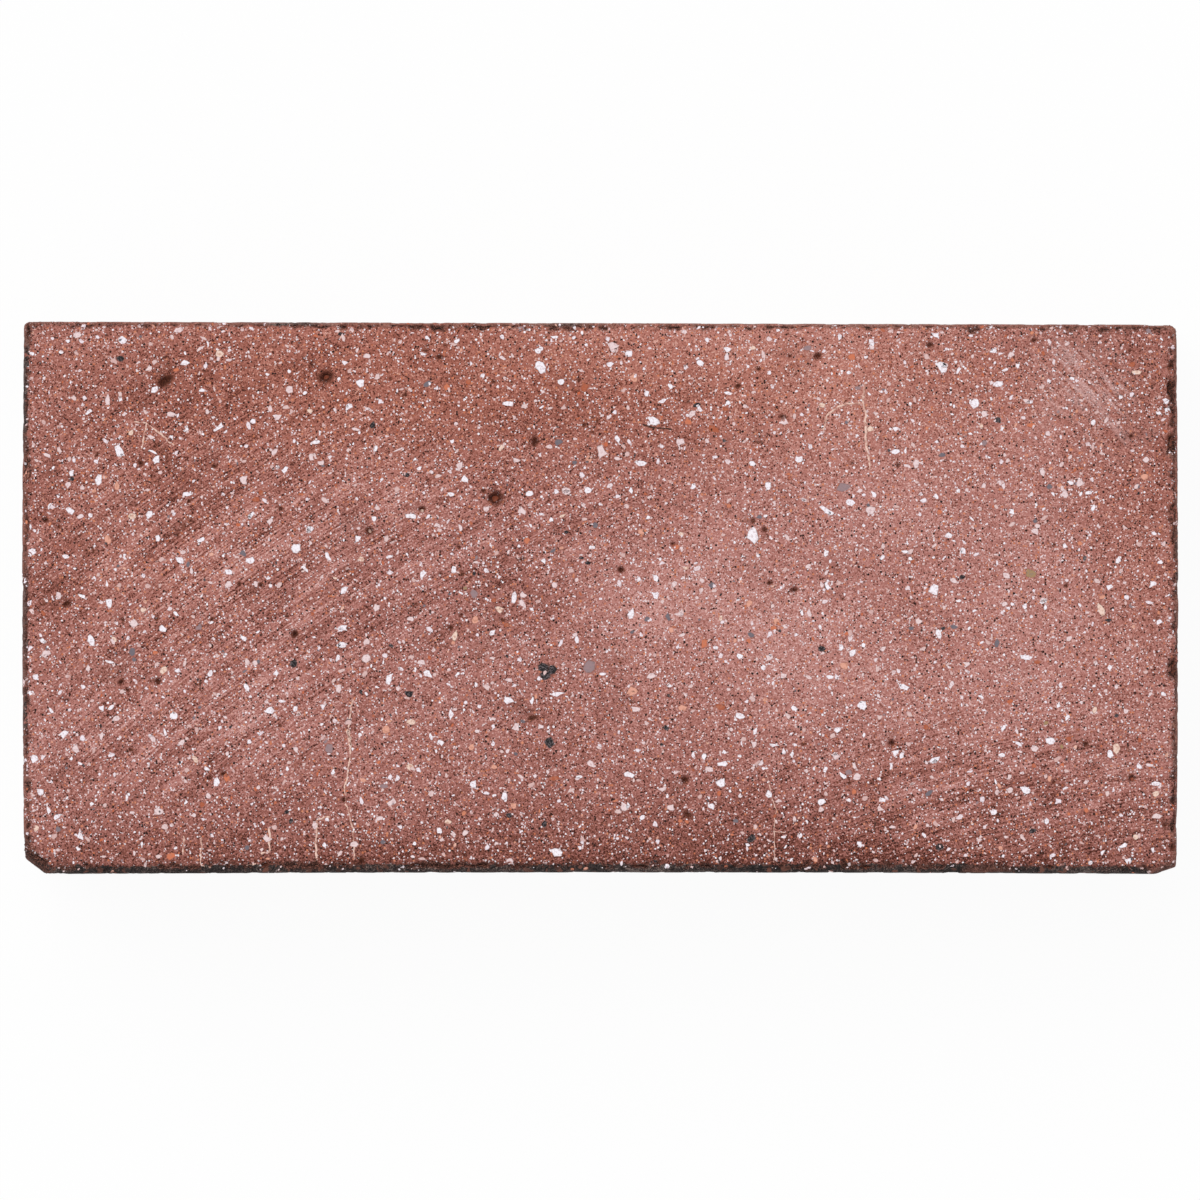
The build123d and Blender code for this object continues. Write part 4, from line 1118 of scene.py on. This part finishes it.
# Quartz sand, cut through: hard, faintly glossy, white to lilac, stained pink by the clay
# Grog, fired crumbs: matt, from brown-red through orange and peach to cream
# Dark grit, ironstone and slag: matt black, blue-grey, lilac-grey and a little olive
grainLooks = {
    "quartz sand, cut through": {
        "shades": [
            (0.0, "#d3aaa4"), (0.25, "#e0c1be"), (0.5, "#ead2d3"), (0.75, "#f1e5ee"), (1.0, "#fbf7fe"),
        ],
        "stain": "#bd9799", "stainSpan": 0.40 * mm, "stainShare": 0.6, "seamShadow": "#7a4c42",
        "roughness": 0.45, "gloss": 0.5,
    },
    "grog, fired crumbs": {
        "shades": [(0.0, "#a4583f"), (0.3, "#cb6c4a"), (0.5, "#d98c6d"), (0.7, "#e6ab98"), (1.0, "#f2dacb")],
        "stain": "#b97c67", "stainSpan": 0.5 * mm, "stainShare": 0.7, "seamShadow": "#6f4036",
        "roughness": 0.85, "gloss": 0.3,
    },
    "dark grit, ironstone and slag": {
        "shades": [(0.0, "#171415"), (0.2, "#3c3739"), (0.5, "#7a727b"), (0.8, "#a48587"), (1.0, "#a88862")],
        "stain": "#85797c", "stainSpan": 0.28 * mm, "stainShare": 0.65, "seamShadow": "#8a625a",
        "roughness": 0.7, "gloss": 0.12,
    },
}
grainStain = (0.48, 0.68)  # noise from clean to fully stained
# A painted shadow: a dark seam of painted crevice shade runs around part of each grain, from this share of
# its radius
grainShadowSeam = {"from": 0.80, "span": 0.6 * mm, "gaps": (0.40, 0.58)}


def makeGrainLook(name):
    look = grainLooks[name]
    material, node = newMaterial(name)
    place = node("ShaderNodeTexCoord", out="Object")
    tint = node("attribute", attribute_name="grainTint", out="Fac")
    base = node("ramp", {0: tint}, stops=look["shades"], out="Color")
    stain = node("noise", {"Vector": place, "Scale": 1 / look["stainSpan"], "Detail": 2.0})
    low, high = grainStain
    stain = node("range", {"Value": stain, "From Min": low, "From Max": high, "To Min": 0.0,
                           "To Max": look["stainShare"]})
    base = node("mix", {0: stain, 6: base, 7: linear(look["stain"])}, out=2, data_type="RGBA")
    # Painted shade: a dark seam on part of the rim stands for the shadow in the crevice around the grain
    rim = node("attribute", attribute_name="grainRim", out="Fac")
    rim = node("range", {"Value": rim, "From Min": grainShadowSeam["from"], "From Max": 1.0})
    gaps = node("noise", {"Vector": place, "Scale": 1 / grainShadowSeam["span"]})
    low, high = grainShadowSeam["gaps"]
    gaps = node("range", {"Value": gaps, "From Min": low, "From Max": high})
    rim = node("math", {0: rim, 1: gaps}, operation="MULTIPLY")
    base = node("mix", {0: rim, 6: base, 7: linear(look["seamShadow"])}, out=2, data_type="RGBA")
    shader = node("ShaderNodeBsdfPrincipled", {"Base Color": base, "Roughness": look["roughness"],
                                               "Specular IOR Level": look["gloss"]})
    node("ShaderNodeOutputMaterial", {"Surface": shader})
    return material


# Hairlines filled with pale lime, and open drying cracks. Each is a width in pixels and the pixels it runs
# through
lines = {
    "step": 0.3 * mm, "wander": 0.22 * mm, "wanderSpan": 1.1 * mm, "wanderGain": 4.0,
    "thinnest": 0.4, "widest": 1.7, "swell": (0.3, 0.7), "swellFiner": 1.3,
    "thick": 0.3, "proud": 0.015 * mm, "sunk": 0.10 * mm,
}
hairlines = [
    (1.9, [(865, 382), (863, 400), (866, 417), (865, 438), (868, 453), (870, 470)]),
    (2.0, [(860, 403), (845, 404), (833, 410), (826, 417), (824, 430)]),
    (1.3, [(174, 446), (147, 423), (142, 448)]),
    (1.2, [(147, 423), (134, 422)]),
    (1.4, [(353, 699), (350, 715), (348, 733), (351, 745), (349, 762), (347, 776), (345, 787)]),
    (1.4, [(345, 787), (346, 804), (350, 816), (353, 831), (354, 846), (355, 860)]),
    (3.6, [(348, 729), (350, 745)]),
    (1.8, [(329, 817), (318, 819), (317, 833), (316, 846), (317, 860)]),
    (1.8, [(269, 828), (270, 844), (269, 852), (261, 854)]),
    (1.4, [(202, 838), (201, 852), (201, 864), (210, 868)]),
    (1.3, [(184, 836), (183, 855)]),
    (0.8, [(766, 772), (769, 783), (771, 795), (776, 810), (774, 823), (775, 846), (774, 862)]),
    (0.8, [(774, 832), (784, 832)]),
    (1.5, [(247, 866), (256, 864)]),
]
# Open cracks are drawn as dark strips on the face: painted shade standing for the gap
cracks = [
    (1.5, [(643, 425), (658, 428), (672, 430)]),
    (1.5, [(200, 679), (200, 690)]),
    (1.5, [(875, 821), (875, 833)]),
    (1.5, [(1128, 745), (1128, 752)]),
    (1.5, [(916, 655), (916, 663)]),
    (1.6, [(102, 804), (106, 808)]),
]


def buildLineTree():
    sizes = ["step", "wander", "wanderSpan", "thinnest", "widest", "proud", "sunk"]
    sockets = {"Geometry": "Geometry", "body": "Object", "material": "Material"}
    tree, given = newTree("drawnLines", {**sockets, **dict.fromkeys(sizes, "Float")})
    node = partial(addNode, tree)
    body = node("GeometryNodeObjectInfo", {"Object": given["body"]}, out="Geometry")
    place = node("place")
    curve = node("GeometryNodeMeshToCurve", {"Mesh": given["Geometry"]})
    curve = node("GeometryNodeResampleCurve", {"Curve": curve, "Length": given["step"]}, mode="LENGTH")

    # The line wanders, and is laid on the face below it
    wanderScale = node("math", {0: 1.0, 1: given["wanderSpan"]}, operation="DIVIDE")
    sway = node("noise", {"Vector": place, "Scale": wanderScale, "Detail": 2.0}, out="Color")
    sway = node("vector", {0: sway, 1: (noiseMiddle, noiseMiddle, noiseMiddle)}, operation="SUBTRACT")
    gain = lines["wanderGain"]
    sway = node("vector", {0: sway, 1: (gain, gain, 0.0)}, operation="MULTIPLY")
    sway = node("vector", {0: sway, "Scale": given["wander"]}, operation="SCALE")
    curve = node("move", {"Geometry": curve, "Offset": sway})
    above = node("vector", {0: place, 1: fall["from"]}, operation="ADD")
    ray = {"Target Geometry": body, "Source Position": above, "Ray Direction": fall["along"],
           "Ray Length": fall["length"]}
    landed = node("GeometryNodeRaycast", ray, out="Hit Position")
    curve = node("move", {"Geometry": curve, "Position": landed})
    curve = node("GeometryNodeSetCurveNormal", {"Curve": curve}, mode="Z_UP")

    # A flat strip, thick and thin, with its top just proud of the face and its foot in the clay
    swellScale = node("math", {0: wanderScale, 1: lines["swellFiner"]}, operation="MULTIPLY")
    swell = node("noise", {"Vector": place, "Scale": swellScale})
    low, high = lines["swell"]
    swell = node("range", {"Value": swell, "From Min": low, "From Max": high, "To Min": given["thinnest"],
                           "To Max": given["widest"]})
    width = node("math", {0: node("named", {"Name": "lineWidth"}), 1: swell}, operation="MULTIPLY")
    flat = node("GeometryNodeCurvePrimitiveQuadrilateral", {"Width": 1.0, "Height": lines["thick"]})
    strip = node("GeometryNodeCurveToMesh",
                 {"Curve": curve, "Profile Curve": flat, "Scale": width, "Fill Caps": True})
    ground = node("GeometryNodeProximity", {0: body}, out="Position", target_element="FACES")
    heights = [node("split", {0: point}, out="Z") for point in (place, ground)]
    over = node("compare", {0: heights[0], 1: heights[1]}, operation="GREATER_THAN")
    foot = node("math", {0: given["sunk"], 1: -1.0}, operation="MULTIPLY")
    stand = node("GeometryNodeSwitch", {"Switch": over, "False": foot, "True": given["proud"]},
                 input_type="FLOAT")
    strip = node("move", {"Geometry": strip, "Position": ground, "Offset": node("vector from", {2: stand})})
    strip = node("GeometryNodeRealizeInstances", {"Geometry": strip})
    strip = node("GeometryNodeSetMaterial", {"Geometry": strip, "Material": given["material"]})
    node("NodeGroupOutput", {0: strip})
    return tree


def makeLines(name, body, tree, material, rows):
    places = []
    steps = []
    widths = []
    for width, route in rows:
        first = len(places)
        places += [(*onFace(px, py), topZ) for px, py in route]
        steps += [(first + i, first + i + 1) for i in range(len(route) - 1)]
        widths += [width * pixel] * len(route)
    mesh = bpy.data.meshes.new(name)
    mesh.from_pydata(places, steps, [])
    storeFloats(mesh, "lineWidth", widths)
    piece = newPiece(name, mesh)
    piece.data = plainMesh(piece, tree, {**lines, "body": body, "material": material})
    print(name + ":", len(piece.data.polygons), "faces")
    finishPiece(piece)


# Lime bloom: a dry pale thread, broken where it has worn off
# Open crack: a dark brown strip of painted shade standing for the gap, with a lighter lip here and there
lineLooks = {
    "lime bloom, along hairlines": {"colour": "#efcabb", "worn": "#bd887a", "wornSpan": 0.7 * mm},
    "open drying crack, painted shade in the gap": {"colour": "#3d241c", "worn": "#8a5a4c", "wornSpan": 0.6 * mm},
}
lineWear = {"from": 0.45, "fully": 0.62, "roughness": 0.95}


def makeLineLook(name):
    look = lineLooks[name]
    material, node = newMaterial(name)
    place = node("ShaderNodeTexCoord", out="Object")
    worn = node("noise", {"Vector": place, "Scale": 1 / look["wornSpan"], "Detail": 2.0})
    worn = node("range", {"Value": worn, "From Min": lineWear["from"], "From Max": lineWear["fully"]})
    base = node("mix", {0: worn, 6: linear(look["colour"]), 7: linear(look["worn"])}, out=2,
                data_type="RGBA")
    shader = node("ShaderNodeBsdfPrincipled", {"Base Color": base, "Roughness": lineWear["roughness"]})
    node("ShaderNodeOutputMaterial", {"Surface": shader})
    return material


bpy.context.scene.view_settings.view_transform = "Standard"
makeCamera()
makeLight()
makeFloor()
body = makePaver(makeClay())
grainTree = buildGrainTree()
whiteLook, crumbLook, darkLook = (makeGrainLook(name) for name in grainLooks)
makeGrains("quartz_grains", body, grainTree, whiteLook, quartz, quartzRead, quartzTints)
makeGrains("quartz_specks", body, grainTree, whiteLook, specks)
makeGrains("grog_grains", body, grainTree, crumbLook, grog, grogRead, grogTints)
makeGrains("dark_grit", body, grainTree, darkLook, grit, gritRead, gritTints)
lineTree = buildLineTree()
limeLook, crackLook = (makeLineLook(name) for name in lineLooks)
makeLines("hairlines", body, lineTree, limeLook, hairlines)
makeLines("drying_cracks", body, lineTree, crackLook, cracks)
